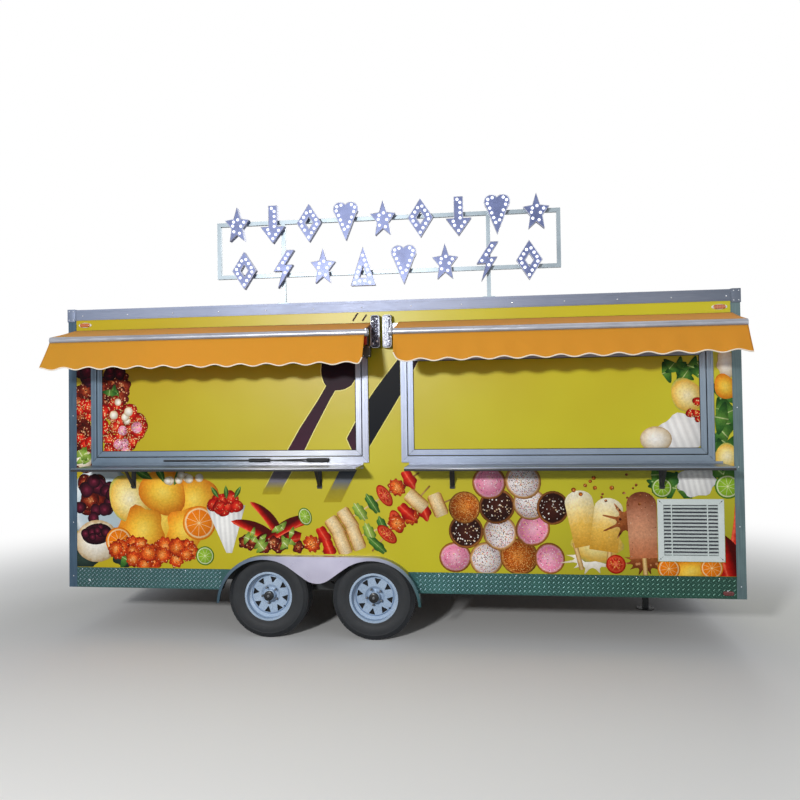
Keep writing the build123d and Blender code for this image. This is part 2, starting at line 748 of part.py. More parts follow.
def awning_frame(x, rail_x):
    """Wall rail, two folding arms, lead bar and the two end brackets of one awning."""
    rail_y, rail_z = awning_rail
    top = awning_wall_z - awning_cloth - rail_y * awning_slope() - 1
    pieces = [block(rail_x, (-rail_y, 0), (top - rail_z, top))]
    pieces.append(bar_x(x, -awning_bar_y, awning_bar_z, awning_bar_r))
    arm_z = top - rail_z + 6
    reach = awning_bar_y - rail_y
    elbow = sqrt(arm_length ** 2 - (reach / 2) ** 2)
    drop_z = awning_bar_z
    for side in (1, -1):
        start_x = x[0] + 130 if side == 1 else x[1] - 130
        elbow_x = start_x + side * elbow
        shoulder = (start_x, -rail_y + 4, arm_z)
        bend = (elbow_x, -rail_y - reach / 2, (arm_z + drop_z) / 2)
        hand = (start_x, -awning_bar_y + awning_bar_r - 3, drop_z)
        pieces.append(flat_arm(shoulder, bend))
        pieces.append(flat_arm(bend, hand))
        pieces.append(Pos(*bend) * Cylinder(24, 46))
        clamp = block((start_x - 30, start_x + 30), (-rail_y - 22, -rail_y + 8), (arm_z - 30, arm_z + 24))
        pieces.append(clamp)
    return join(pieces)


def awning_slope():
    """Fall of the canopy for each millimetre of reach."""
    return (awning_wall_z - awning_cloth - awning_bar_z - awning_bar_r) / (awning_bar_y - awning_back)


def flat_arm(start, end):
    """Flat arm between two pivots."""
    path = Vector(*end) - Vector(*start)
    plane = Plane(origin=start, x_dir=(0, 0, 1), z_dir=path)
    section = Rectangle(arm_section[1], arm_section[0])
    return extrude(plane * section, path.length)


def awning_bracket(x):
    """Cast end bracket that carries the awning on the wall, with vertical ribs."""
    body = block(x, (-bracket_depth, 0), (bracket_low_z, bracket_high_z))
    body = fillet(body.edges().filter_by(Axis.X).group_by(Axis.Y)[0], 18)
    for i in range(3):
        rx = x[0] + (x[1] - x[0]) * (i + 1) / 4
        body = body - block((rx - 3, rx + 3), (-bracket_depth - 1, -bracket_depth + 4),
                            (bracket_low_z + 24, bracket_high_z - 24))
    return body


def awning_gearbox():
    """Housing of the rear awning's winding gear, hung by an arm from the end of its wall rail."""
    width, depth, height = gearbox_size
    right = bracket_x[0][0] - gearbox_gap
    housing = block((right - width, right), (-gearbox_back - depth, -gearbox_back),
                    (gearbox_low_z, gearbox_low_z + height))
    housing = fillet(housing.edges().filter_by(Axis.X), 10)
    arm_x = (right - (width + gearbox_arm[0]) / 2, right - (width - gearbox_arm[0]) / 2)
    return housing + block(arm_x, (-gearbox_back - gearbox_arm[1], -gearbox_back + 6),
                           (gearbox_low_z + height - 10, awning_wall_z - awning_rail[1]))


def awning_cloth_piece(x):
    """Canopy from the wall to the bar and valance from the bar to the hem, as closed solids."""
    t = awning_cloth
    bar_top = awning_bar_z + awning_bar_r
    canopy = outline([(-awning_back, awning_wall_z), (-awning_bar_y, bar_top + t), (-awning_bar_y, bar_top),
                      (-awning_back, awning_wall_z - t)])
    out = awning_bar_y + awning_bar_r
    valance = outline([(-out, awning_bar_z), (-out - t, awning_bar_z), (-awning_hem_y, awning_hem_z),
                       (-awning_hem_y + t, awning_hem_z)])
    width = x[1] - x[0]
    cloth = extrude(Plane.YZ * canopy, width) + extrude(Plane.YZ * valance, width)
    return Pos(x[0], 0, 0) * cloth


# Roof sign

def sign_frame():
    """Rectangle of square tube on two posts with foot plates on the roof rail."""
    t = sign_tube
    y = (sign_y - t / 2, sign_y + t / 2)
    ring = block((-sign_half, sign_half), y, (sign_low_z - t / 2, sign_high_z + t / 2))
    ring = ring - block((-sign_half + t, sign_half - t), (y[0] - 1, y[1] + 1),
                        (sign_low_z + t / 2, sign_high_z - t / 2))
    top = body_top + rail_sheet
    for sx in (-1, 1):
        x = sx * sign_post_x
        post = block((x - t / 2, x + t / 2), (y[0], y[1]), (top + 6, sign_high_z - t / 2))
        foot = block((x - 50, x + 50), (-rail_proud, rail_flange), (top, top + 6))
        ring = ring + post + foot
    return ring


def sign_shape(kind):
    """One flat marquee shape, drawn round the origin in x and z."""
    w, h, s = shape_width / 2, shape_height / 2, shape_stroke
    if kind == "star":
        points = []
        for i in range(10):
            r = 1.0 if i % 2 == 0 else 0.46
            a = radians(90 + 36 * i)
            points.append((w * 1.05 * r * cos(a), h * r * sin(a)))
        return outline(points)
    if kind == "diamond":
        ring = outline([(0, h), (w, 0), (0, -h), (-w, 0)])
        k = 0.34
        return ring - outline([(0, h * k), (w * k, 0), (0, -h * k), (-w * k, 0)])
    if kind == "arrow":
        neck = -h * 0.12
        return outline([(-s / 2, h), (s / 2, h), (s / 2, neck), (w, neck), (0, -h), (-w, neck),
                        (-s / 2, neck)])
    if kind == "bolt":
        return outline([(w * 0.3, h), (-w * 0.8, -h * 0.1), (-w * 0.05, -h * 0.1), (-w * 0.45, -h),
                        (w * 0.8, h * 0.22), (w * 0.1, h * 0.22), (w * 0.9, h)])
    if kind == "triangle":
        ring = outline([(0, h), (w, -h), (-w, -h)])
        return ring - outline([(0, h * 0.05), (w * 0.34, -h * 0.62), (-w * 0.34, -h * 0.62)])
    lobe = w * 0.56
    top = h - lobe
    heart = Pos(-w + lobe, top) * Circle(lobe) + Pos(w - lobe, top) * Circle(lobe)
    return heart + outline([(-w, top), (w, top), (0, -h)])


def sign_shapes():
    """Two rows of marquee shapes, seated on the front of the sign's tubes."""
    front = sign_y - sign_tube / 2
    shapes = []
    for z, end, kinds in sign_rows:
        for i, kind in enumerate(kinds):
            x = -end + 2 * end * i / (len(kinds) - 1)
            shapes.append(Pos(x, front, z) * extrude(Plane.XZ * sign_shape(kind), shape_depth))
    return join(shapes)


# Vent, lamps and stowed bar

def louvre_vent():
    """Flat frame with a collar in the wall, tilted blades in it and two upright ribs."""
    x, z, f = vent_x, vent_z, vent_frame
    clear_x, clear_z = (x[0] + f, x[1] - f), (z[0] + f, z[1] - f)
    c = vent_collar
    collar = block((clear_x[0] - c, clear_x[1] + c), (0, vent_collar_depth), (clear_z[0] - c, clear_z[1] + c))
    frame = block(x, (-vent_proud, 0), z) + collar
    frame = frame - block(clear_x, (-vent_proud - 1, vent_collar_depth + 1), clear_z)
    pitch = (clear_z[1] - clear_z[0]) / vent_blades
    for i in range(vent_blades):
        blade = Box(clear_x[1] - clear_x[0] + 2, vent_blade_depth, vent_blade_thick)
        blade = Rot(vent_blade_tilt, 0, 0) * blade
        frame = frame + Pos((x[0] + x[1]) / 2, vent_blade_set, clear_z[0] + pitch * (i + 0.5)) * blade
    for share in vent_rib_shares:
        rx = clear_x[0] + share * (clear_x[1] - clear_x[0])
        frame = frame + block((rx - 4, rx + 4), (-2, 12), (clear_z[0] - 1, clear_z[1] + 1))
    return frame


def oval_lamp(x, z, length):
    """Flat oval marker lamp on the serving wall, drawn as a slot with a domed edge."""
    lamp = extrude(Plane.XZ * SlotOverall(length, 34), 16)
    lamp = fillet(lamp.edges().group_by(Axis.Y)[0], 7)
    return Pos(x, 0, z) * lamp


def round_lamp(y, z):
    """Round lamp on the rear skirt."""
    face = -half - skirt_thick
    lamp = rod((face, y, z), (face - 22, y, z), 50)
    return fillet(lamp.edges().group_by(Axis.X)[0], 8)


def lock_bar():
    """Black bar with a grip, in three clips on the sill of the rear window."""
    end = window_rear[1]
    z = window_bottom + lock_bar_rise
    face = -frame_proud - frame_rib
    y = face - lock_bar_out
    bar = bar_x((end - 1760, end - 900), y, z, 7)
    bar = bar + bar_x((end - 1013, end - 840), y, z, 11)
    for rise in (9, -8):
        bar = bar + rod((end - 850, y, z), (end - 480, y, z + rise), 5)
    bar = bar + block((end - 505, end - 345), (y - 13, y + 10), (z - 16, z + 18))
    for clip in lock_bar_clips:
        bar = bar + block((end - clip - 10, end - clip + 10), (y, face), (z - 6, z + 6))
    return bar


# Entry door

def wall_rear():
    """Rear wall with the door opening."""
    panel = end_wall((-half, -half + wall))
    return panel - block((-half - 10, -half + wall + 10), door_y, (deck_top - 1, door_top))


def door_frame():
    """Trim round the door opening, with the fixed hinge parts."""
    x = (-half - door_proud, -half)
    t = door_trim
    trim = block(x, (door_y[0] - t, door_y[1] + t), (deck_top, door_top + t))
    trim = trim - block((x[0] - 1, x[1] + 1), door_y, (deck_top - 1, door_top))
    for z in door_hinge_z:
        axis = door_axis()
        for side in (-1, 1):
            kz = sorted((z + side * 27, z + side * 60))
            trim = trim + rod((axis[0], axis[1], kz[0]), (axis[0], axis[1], kz[1]), door_hinge_r)
            trim = trim + block((axis[0], x[0]), (axis[1], axis[1] + 30), kz)
        trim = trim + rod((axis[0], axis[1], z - 40), (axis[0], axis[1], z + 40), door_pin_r)
    return trim


def door_axis():
    """Hinge axis of the entry door, in x and y."""
    return -half - door_proud - door_hinge_r - 1, door_y[1] - door_gap / 2


def entry_door():
    """Door leaf with a pull handle and its hinge knuckles."""
    g = door_gap
    x = (-half - door_proud, -half - door_proud + door_thick)
    y = (door_y[0] + g, door_y[1] - g)
    leaf_panel = block(x, y, (deck_top + g, door_top - g))
    axis = door_axis()
    for z in door_hinge_z:
        barrel = rod((axis[0], axis[1], z - 25), (axis[0], axis[1], z + 25), door_hinge_r)
        plate = block((axis[0], x[0]), (axis[1] - 45, axis[1]), (z - 25, z + 25))
        bore = rod((axis[0], axis[1], z - 30), (axis[0], axis[1], z + 30), door_pin_bore_r)
        leaf_panel = leaf_panel + (barrel + plate - bore)
    hy = door_y[0] + g + 55
    handle = rod((x[0] - 45, hy, 1440), (x[0] - 45, hy, 1640), 9)
    for z in (1450, 1630):
        handle = handle + rod((x[0], hy, z), (x[0] - 45, hy, z), 8)
    lock = block((x[0] - 12, x[0]), (hy - 30, hy + 30), (1300, 1400))
    return leaf_panel + handle + lock


# Nodes

nodes["main_rails"] = main_rails()
nodes["rim_frame"] = rim_frame()
nodes["cross_members"] = cross_members()
nodes["drawbar_sockets"] = drawbar_sockets()
nodes["front_leg"] = front_leg()
nodes["floor_deck"] = floor_deck()
nodes["wheel_boxes"] = wheel_box() + far_side(wheel_box())
nodes["wall_serving"] = wall_serving()
nodes["wall_far"] = far_side(side_wall())
nodes["wall_front"] = end_wall((half - wall, half))
nodes["wall_rear"] = wall_rear()
nodes["roof_panel"] = block((-half, half), (0, body_width), (roof_bottom, body_top))
nodes["roof_rails"] = roof_rails()
nodes["corner_posts"] = corner_posts()
nodes["skirts"] = join([skirt("rear"), skirt("front")])
nodes["fender_serving"] = fender()
nodes["fender_far"] = far_side(fender())
nodes["axle_rear"] = axle(wheel_x["rear"])
nodes["axle_front"] = axle(wheel_x["front"])
nodes["leaf_springs"] = spring_side() + far_side(spring_side())
windows = {"rear": window_rear, "front": window_front}
shelves = {"rear": shelf_rear, "front": shelf_front}
awnings = {"rear": awning_rear, "front": awning_front}
rail_end = half - post_width - 4
awning_rails = {"rear": (-rail_end, bracket_x[0][0]), "front": (bracket_x[1][1], rail_end)}
for end in ("rear", "front"):
    nodes["window_frame_" + end] = window_frame(windows[end])
    nodes["hatch_frame_" + end] = hatch_frame(windows[end])
    nodes["hatch_panel_" + end] = hatch_panel(windows[end])
    nodes["shelf_" + end] = shelf(shelves[end])
    nodes["shelf_struts_" + end] = join([shelf_strut(x) for x in strut_places[end]])
    nodes["awning_frame_" + end] = awning_frame(awnings[end], awning_rails[end])
    nodes["awning_cloth_" + end] = awning_cloth_piece(awnings[end])
nodes["awning_frame_rear"] = nodes["awning_frame_rear"] + awning_gearbox()
nodes["shelf_rails"] = shelf_rail(shelf_rear) + shelf_rail(shelf_front)
nodes["strut_plates"] = join([strut_mount(x) for places in strut_places.values() for x in places])
nodes["awning_brackets"] = join([awning_bracket(x) for x in bracket_x])
nodes["sign_frame"] = sign_frame()
nodes["sign_shapes"] = sign_shapes()
nodes["louvre_vent"] = louvre_vent()
lamps = [oval_lamp(sx * (half - 150), rail_bottom - 44, 92) for sx in (-1, 1)]
nodes["marker_lamps"] = join(lamps + [far_side(lamp) for lamp in lamps])
red_marker = Pos(0, -skirt_thick, 0) * oval_lamp(half - 133, body_bottom + 44, 84)
nodes["tail_lamps"] = join([red_marker] + [round_lamp(y, body_bottom + 85) for y in (160, body_width - 160)])
nodes["lock_bar"] = lock_bar()
nodes["door_frame"] = door_frame()
nodes["entry_door"] = entry_door()
one_tyre = tyre()
one_rim = wheel_rim()
for end in ("rear", "front"):
    place = Pos(wheel_x[end], wheel_y["serving"], tyre_radius)
    nodes["tyre_" + end + "_serving"] = place * one_tyre
    nodes["rim_" + end + "_serving"] = place * one_rim
    nodes["tyre_" + end + "_far"] = far_side(place * one_tyre)
    nodes["rim_" + end + "_far"] = far_side(place * one_rim)

# The origin goes to the ground under the middle of the overall box.
boxes = [shape.bounding_box() for shape in nodes.values()]
shift_x = -(min(b.min.X for b in boxes) + max(b.max.X for b in boxes)) / 2
shift_y = -(min(b.min.Y for b in boxes) + max(b.max.Y for b in boxes)) / 2
for name, shape in nodes.items():
    export_step(Pos(shift_x, shift_y, 0) * shape, "parts/" + name + ".step")

print("shift", round(shift_x, 3), round(shift_y, 3))
for end in ("rear", "front"):
    sides = [wheel_y[side] + shift_y for side in ("serving", "far")]
    print("wheel", end, wheel_x[end] + shift_x, *sides, tyre_radius)
print("hatch axis", -hinge_y() + shift_y, hinge_z())
print("shelf axis", -shelf_axis_out + shift_y, shelf_top - shelf_axis_drop)
print("strut axis", -strut_axis_out + shift_y, strut_axis_z, "length and angle", strut_geometry())
print("door axis", door_axis()[0] + shift_x, door_axis()[1] + shift_y)
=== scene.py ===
import json
import math
import random

import bmesh
import bpy
from mathutils import Matrix, Vector

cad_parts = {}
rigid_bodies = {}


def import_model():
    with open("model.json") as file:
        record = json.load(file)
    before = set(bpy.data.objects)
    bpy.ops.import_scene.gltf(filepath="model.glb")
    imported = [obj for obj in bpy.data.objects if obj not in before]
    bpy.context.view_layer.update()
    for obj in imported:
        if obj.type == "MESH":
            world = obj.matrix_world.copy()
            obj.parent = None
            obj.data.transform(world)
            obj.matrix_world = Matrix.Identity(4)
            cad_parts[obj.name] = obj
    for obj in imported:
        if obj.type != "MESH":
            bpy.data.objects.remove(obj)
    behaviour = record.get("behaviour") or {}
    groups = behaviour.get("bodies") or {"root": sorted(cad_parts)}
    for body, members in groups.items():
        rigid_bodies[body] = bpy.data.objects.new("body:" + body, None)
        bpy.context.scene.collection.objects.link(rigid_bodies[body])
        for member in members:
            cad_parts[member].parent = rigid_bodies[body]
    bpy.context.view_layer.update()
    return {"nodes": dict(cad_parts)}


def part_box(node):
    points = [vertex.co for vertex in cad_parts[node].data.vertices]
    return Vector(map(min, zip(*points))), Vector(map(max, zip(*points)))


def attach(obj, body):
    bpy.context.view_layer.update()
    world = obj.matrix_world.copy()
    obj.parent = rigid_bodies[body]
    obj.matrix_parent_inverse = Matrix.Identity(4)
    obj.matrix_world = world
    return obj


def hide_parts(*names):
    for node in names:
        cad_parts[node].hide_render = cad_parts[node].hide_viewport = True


for leftover in list(bpy.data.objects):  # a new file's own cube, lamp and camera
    bpy.data.objects.remove(leftover)
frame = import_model()
nodes = frame["nodes"]
print("frame loaded with", len(nodes), "nodes")


def placeObject(name, data):
    made = bpy.data.objects.new(name, data)
    bpy.context.scene.collection.objects.link(made)
    return made


# camera

viewpoint = {
    "place": (0.9471, -7.1008, 1.9130),
    "yaw": 0.1305, "tilt": 0.0222, "roll": -0.0135,
    "lens": 33.75, "sensor": 36, "shiftY": -0.01133, "sight": 200,
}
lens = bpy.data.cameras.new("photoCamera")
lens.lens, lens.sensor_width = viewpoint["lens"], viewpoint["sensor"]
lens.shift_y, lens.clip_end = viewpoint["shiftY"], viewpoint["sight"]
photoCamera = placeObject("photoCamera", lens)
photoCamera.matrix_world = (
    Matrix.Translation(viewpoint["place"])
    @ Matrix.Rotation(viewpoint["yaw"], 4, "Z")
    @ Matrix.Rotation(math.pi / 2 + viewpoint["tilt"], 4, "X")
    @ Matrix.Rotation(viewpoint["roll"], 4, "Z")
)
bpy.context.scene.camera = photoCamera

# nodes and materials


def rgb(hexColour):
    parts = [int(hexColour[i:i + 2], 16) / 255 for i in (0, 2, 4)]
    linear = [p / 12.92 if p <= 0.04045 else ((p + 0.055) / 1.055) ** 2.4 for p in parts]
    return (*linear, 1.0)


def feed(tree, node, inputs):  # a node or socket is linked, anything else is set as the value
    for key, value in inputs.items():
        if isinstance(value, bpy.types.Node):
            value = value.outputs[0]
        if isinstance(value, bpy.types.NodeSocket):
            tree.links.new(value, node.inputs[key])
        else:
            node.inputs[key].default_value = value


def addNode(tree, kind, inputs=None, stops=None, **settings):
    made = tree.nodes.new("ShaderNode" + kind)
    for key, value in settings.items():
        setattr(made, key, value)
    if stops:  # a colour ramp's places and colours
        while len(made.color_ramp.elements) < len(stops):
            made.color_ramp.elements.new(0.5)
        for element, (place, colour) in zip(made.color_ramp.elements, stops.items()):
            element.position = place
            element.color = rgb(colour)
    feed(tree, made, inputs or {})
    return made


def emptyTree(owner):
    owner.use_nodes = True
    owner.node_tree.nodes.clear()
    return owner.node_tree


def startMaterial(name, **sockets):
    made = bpy.data.materials.new(name)
    tree = emptyTree(made)
    shader = addNode(tree, "BsdfPrincipled", {key.replace("_", " "): value for key, value in sockets.items()})
    addNode(tree, "OutputMaterial", {"Surface": shader})
    return made, tree, shader, addNode(tree, "TexCoord").outputs["Object"]


bodyEnds = (-2.8, 2.8)  # along the trailer, in metres


def surface(name, low, high, cloudMm, grainMm, stretch=(1, 1, 1), metal=0.0, rough=0.4, span=0.08, bumpMm=0.1,
            drift=None):
    # two tones in slow clouds and fine grain; drift tones them along the trailer, from the rear end to the front, and
    # so paints reflections and shade into the colour
    made, tree, shader, place = startMaterial(name, Metallic=metal)
    cloud = addNode(tree, "TexNoise", {"Vector": place, "Scale": 1000 / cloudMm, "Detail": 4.0, "Roughness": 0.6})
    pulled = addNode(tree, "Mapping", {"Vector": place, "Scale": stretch})
    grain = addNode(tree, "TexNoise", {"Vector": pulled, "Scale": 1000 / grainMm, "Detail": 3.0})
    both = addNode(tree, "Math", {0: cloud, 1: grain}, operation="ADD")
    spread = addNode(tree, "MapRange", {"Value": both, "From Min": 0.7, "From Max": 1.3})
    colour = addNode(tree, "Mix", {0: spread, 6: rgb(low), 7: rgb(high)}, data_type="RGBA").outputs[2]
    if drift:
        along = addNode(tree, "SeparateXYZ", {0: place})
        share = addNode(tree, "MapRange", {"Value": along, "From Min": bodyEnds[0], "From Max": bodyEnds[1]})
        tone = addNode(tree, "ValToRGB", {0: share}, stops=drift)
        colour = addNode(tree, "Mix", {0: 1.0, 6: colour, 7: tone}, data_type="RGBA",
                         blend_type="MULTIPLY").outputs[2]
    roughness = addNode(tree, "MapRange", {"Value": grain, "From Min": 0.3, "From Max": 0.7,
                                           "To Min": rough - span, "To Max": rough + span})
    bump = addNode(tree, "Bump", {"Height": grain, "Distance": bumpMm / 1000, "Strength": 1.0})
    feed(tree, shader, {"Base Color": colour, "Roughness": roughness, "Normal": bump})
    return made


# painted reflections and shade: tones from the rear end, 0, to the front, 1
metalReflectionDrift = {0: "8FA6B4", 0.1: "AEBAC2", 0.25: "BCC4CA", 0.33: "F0E8E4", 0.41: "FFF8F0", 0.48: "C6C2CA",
    0.62: "CCD0DA", 1: "BAC4C8"}
fenderReflectionDrift = {0.25: "52727A", 0.3: "8A9CA6", 0.36: "E8E8F0", 0.44: "F4F2FA", 0.51: "B4BCC0", 0.555: "3E7470"}
postReflectionDrift = {0: "B4C5D8", 1: "FFFCE8"}
treadReflectionShadeDrift = {0: "B8B8C0", 0.3: "C8D0DA", 0.6: "C0D4DA", 0.85: "90B0A0", 1: "7C9C88"}
railReflectionDrift = {0: "DCE4EC", 0.5: "F4F4F8", 1: "B4BABA"}
finishes = {
    # satin anodised extrusions: soft broad reflections, fine lines along the profile, and a painted reflection that is
    # brightest over the middle of the trailer
    "trimAluminium": surface("satinAnodisedAluminium", "99A3B0", "B2BAC4", 420, 3, metal=0.8, span=0.06,
        bumpMm=0.03, drift=metalReflectionDrift),
    # the corner posts are older extrusions, blue-grey, with a painted reflection that lightens them towards the front
    # end
    "postAluminium": surface("weatheredAluminiumPost", "485D6B", "647B88", 420, 6, stretch=(1, 1, 0.03),
        metal=0.45, rough=0.42, span=0.1, bumpMm=0.06, drift=postReflectionDrift),
    # lead bars and arms of the awnings, dulled by handling
    "barAluminium": surface("dulledAwningBar", "8A8D96", "A9ABB3", 300, 4, stretch=(0.05, 1, 1), metal=0.8,
        rough=0.36, bumpMm=0.04),
    # long rail at the roof, brushed along its length; a painted reflection makes it palest over the middle, and painted
    # shade darker at the front end
    "railAluminium": surface("millAluminiumRail", "7F869A", "969CAE", 700, 4, stretch=(0.05, 1, 1), metal=0.5,
        rough=0.5, span=0.06, bumpMm=0.02, drift=railReflectionDrift),
    # rolled tread plate; its green-grey tone is a painted reflection of grass, and painted shade makes it darker and
    # greener towards the front end
    "treadPlate": surface("oxidisedTreadPlate", "315B56", "4C8078", 260, 9, metal=0.45, rough=0.42, span=0.12,
        bumpMm=0.25, drift=treadReflectionShadeDrift),
    # crests that lean the other way: a shaded copy of the crest metal, painted shade
    "treadShade": surface("shadedTreadCrest", "5C8486", "7AA2A2", 200, 8, metal=0.5, span=0.1, bumpMm=0.05,
        drift=treadReflectionShadeDrift),
    # crests of the tread plate that lean one way: a lit copy of the same metal, painted highlight
    "treadCrestLit": surface("litTreadCrest", "9CBCC2", "CCE2E6", 200, 8, metal=0.6, rough=0.36, span=0.1,
        bumpMm=0.05, drift=treadReflectionShadeDrift),
    # bright rolled sheet, slightly wavy, so reflections wander; a painted reflection makes the web bright in its middle
    # and teal-green at its ends
    "fenderSheet": surface("brightRolledSheet", "C8C6D6", "D0CEDC", 700, 120, metal=0.8, rough=0.3, span=0.03,
        bumpMm=0.01, drift=fenderReflectionDrift),
    # hot-rolled steel under satin black paint, a little dusty
    "chassisPaint": surface("satinBlackChassisPaint", "191C1E", "2C3031", 340, 5, rough=0.5, span=0.14,
        bumpMm=0.25),
    # birch plywood faced with brown phenolic film
    "deckPlywood": surface("filmFacedPlywood", "6E5238", "8C6D4B", 220, 14, stretch=(0.1, 1, 1), rough=0.55,
        span=0.1, bumpMm=0.2),
    # galvanised sheet of the wheel boxes, spangled
    "boxSheet": surface("spangledGalvanisedSheet", "8E9398", "B4B9BE", 60, 22, metal=0.8, span=0.14, bumpMm=0.05),
    # white glass fibre skin, faintly pebbled
    "roofSkin": surface("whiteGlassFibreSkin", "D6D9D8", "E6E8E7", 600, 12, rough=0.36, bumpMm=0.12),
    # cream gel coat of the door, faintly pebbled
    "doorSkin": surface("creamGelCoat", "C9C6AF", "DAD7C3", 500, 9, rough=0.32, span=0.06, bumpMm=0.15),
    # silver paint over steel tube
    "signTube": surface("silverTubePaint", "7E8A92", "98A4AB", 260, 5, metal=0.55, bumpMm=0.08),
    # stainless counter, brushed along its length, bright, with the same painted reflection as the window trim
    "counterSteel": surface("brushedStainlessCounter", "9AA1AC", "B0B6C0", 520, 4, stretch=(0.02, 1, 1),
        metal=0.85, rough=0.36, span=0.06, bumpMm=0.01, drift=metalReflectionDrift),
    # black powder coat, fine orange peel
    "blackCoat": surface("blackPowderCoat", "06080A", "0E1013", 200, 3, rough=0.5, bumpMm=0.12),
    # white edge bead of the awning brackets
    "castEdge": surface("whiteCastEdge", "C9CFDA", "EEF1F6", 40, 6, metal=0.4, span=0.1, bumpMm=0.2),
    # dark olive paint on the winding gear's cast cover
    "gearPaint": surface("olivePaintedGearCover", "23241B", "3A3A2C", 60, 5, rough=0.5, span=0.12, bumpMm=0.3),
    # soft black rubber of the lock bar's grips, polished by hands
    "gripRubber": surface("blackGripRubber", "040506", "0A0B0E", 60, 3, rough=0.55),
    # painted shade: dark grey strips in the gaps behind the vent's blades
    "ventGapShade": surface("paintedShadeInVentGaps", "262933", "363945", 60, 2, rough=0.8, span=0.05),
    # painted shade: near-black and matt, so the rims' hand holes look dark
    "handHoleShade": surface("paintedShadeInHoles", "06070A", "0E1014", 60, 2, rough=0.8, span=0.05),
    # wheel nuts and studs, browned by weather
    "dullSteel": surface("weatheredWheelNut", "4E5054", "74777C", 20, 3, metal=0.6, rough=0.45, span=0.1),
    # orange-red plastic stop on the awning's gear
    "redStop": surface("orangeRedStop", "A82A10", "C83C16", 40, 4),
    # white plastic under the marker lamps
    "whiteLampBase": surface("whiteLampBase", "DDE0DE", "EFF1F0", 60, 3, rough=0.35, span=0.06, bumpMm=0.05),
    # moulded white polypropylene, slightly chalky
    "ventPlastic": surface("chalkyWhitePolypropylene", "CBD6D3", "E2EAE7", 240, 4, rough=0.42, span=0.06,
        bumpMm=0.08),
    # blue-white baked enamel on the wheels, thin road film on it
    "wheelEnamel": surface("bakedWheelEnamel", "98AEC8", "BACDE2", 160, 6, metal=0.1, rough=0.3, span=0.1),
    # tyre rubber, blue-black with dust in the mould lines
    "tyreRubber": surface("vulcanisedTyreRubber", "101317", "1E2227", 110, 5, rough=0.66, span=0.1, bumpMm=0.3),
    # EPDM seal round the hatches, matt
    "sealRubber": surface("epdmSealRubber", "14161A", "22252A", 120, 3, rough=0.7, bumpMm=0.15),
    # zinc-plated screws and rivets, bright
    "zincPlate": surface("zincPlatedFastener", "B4BAC2", "DCE0E6", 20, 2, metal=0.9, rough=0.28, bumpMm=0.05),
    # blue-grey enamel of the sign's letter trays, lit by its bulbs
    "signTray": surface("enamelledSignTray", "4C5680", "727EAC", 120, 5, metal=0.2, rough=0.36, bumpMm=0.08),
    # white enamelled edge of each tray
    "signEdge": surface("whiteSignEdge", "DCE2F2", "F1F4FB", 180, 5, rough=0.35, span=0.05, bumpMm=0.05),
    # glossy black nylon grips
    "blackNylon": surface("blackNylonGrip", "0E1013", "1B1E23", 60, 3, rough=0.25, bumpMm=0.15),
    # pale polyester edging tape along the valances
    "edgingTape": surface("creamPolyesterTape", "F2E2C6", "FFF6E6", 60, 2, rough=0.75, span=0.05, bumpMm=0.15),
}


def lensMaterial(name, deep, pale, ribMm=6):  # moulded acrylic: bright rim light, fine ribs inside
    made, tree, shader, place = startMaterial(name, Roughness=0.14, Coat_Weight=0.6, Coat_Roughness=0.06)
    ribs = addNode(tree, "TexWave", {"Vector": place, "Scale": 1000 / ribMm / 6.3, "Distortion": 0.6},
                   bands_direction="X").outputs["Fac"]
    colour = addNode(tree, "Mix", {0: ribs, 6: rgb(deep), 7: rgb(pale)}, data_type="RGBA").outputs[2]
    bump = addNode(tree, "Bump", {"Height": ribs, "Distance": 0.0006, "Strength": 1.0})
    feed(tree, shader, {"Base Color": colour, "Normal": bump})
    return made


def castMaterial():
    # sand-cast aluminium with dark pores; painted shade makes the left bracket nearly black, painted light makes the
    # right one pale
    made, tree, shader, place = startMaterial("sandCastAluminium", Metallic=0.4, Roughness=0.45)
    parts = addNode(tree, "SeparateXYZ", {0: place})
    across = addNode(tree, "MapRange", {"Value": parts, "From Min": -0.08, "From Max": 0.10})
    # painted light and shade: how pale the skin is, from the left bracket's left side to the right one's right side
    paintedLightShare = {0: "3C3C3C", 0.3: "606060", 0.4: "949494", 0.56: "E6E6E6", 0.8: "C8C8C8", 0.93: "383838"}
    skin = {0: "0C0A14", 0.34: "1E1A2C", 0.46: "565A74", 0.6: "B4BACC", 1: "DCE2EA"}
    tone = addNode(tree, "ValToRGB", {0: across}, stops=paintedLightShare)
    pores = addNode(tree, "TexNoise", {"Vector": place, "Scale": 110.0, "Detail": 5.0, "Roughness": 0.75})
    sharp = addNode(tree, "MapRange", {"Value": pores, "From Min": 0.36, "From Max": 0.64})
    both = addNode(tree, "Math", {0: sharp, 1: tone}, operation="ADD")
    share = addNode(tree, "MapRange", {"Value": both, "From Min": 0.25, "From Max": 1.45})
    colour = addNode(tree, "ValToRGB", {0: share}, stops=skin)
    bump = addNode(tree, "Bump", {"Height": pores, "Distance": 0.003, "Strength": 1.0})
    feed(tree, shader, {"Base Color": colour, "Normal": bump})
    return made


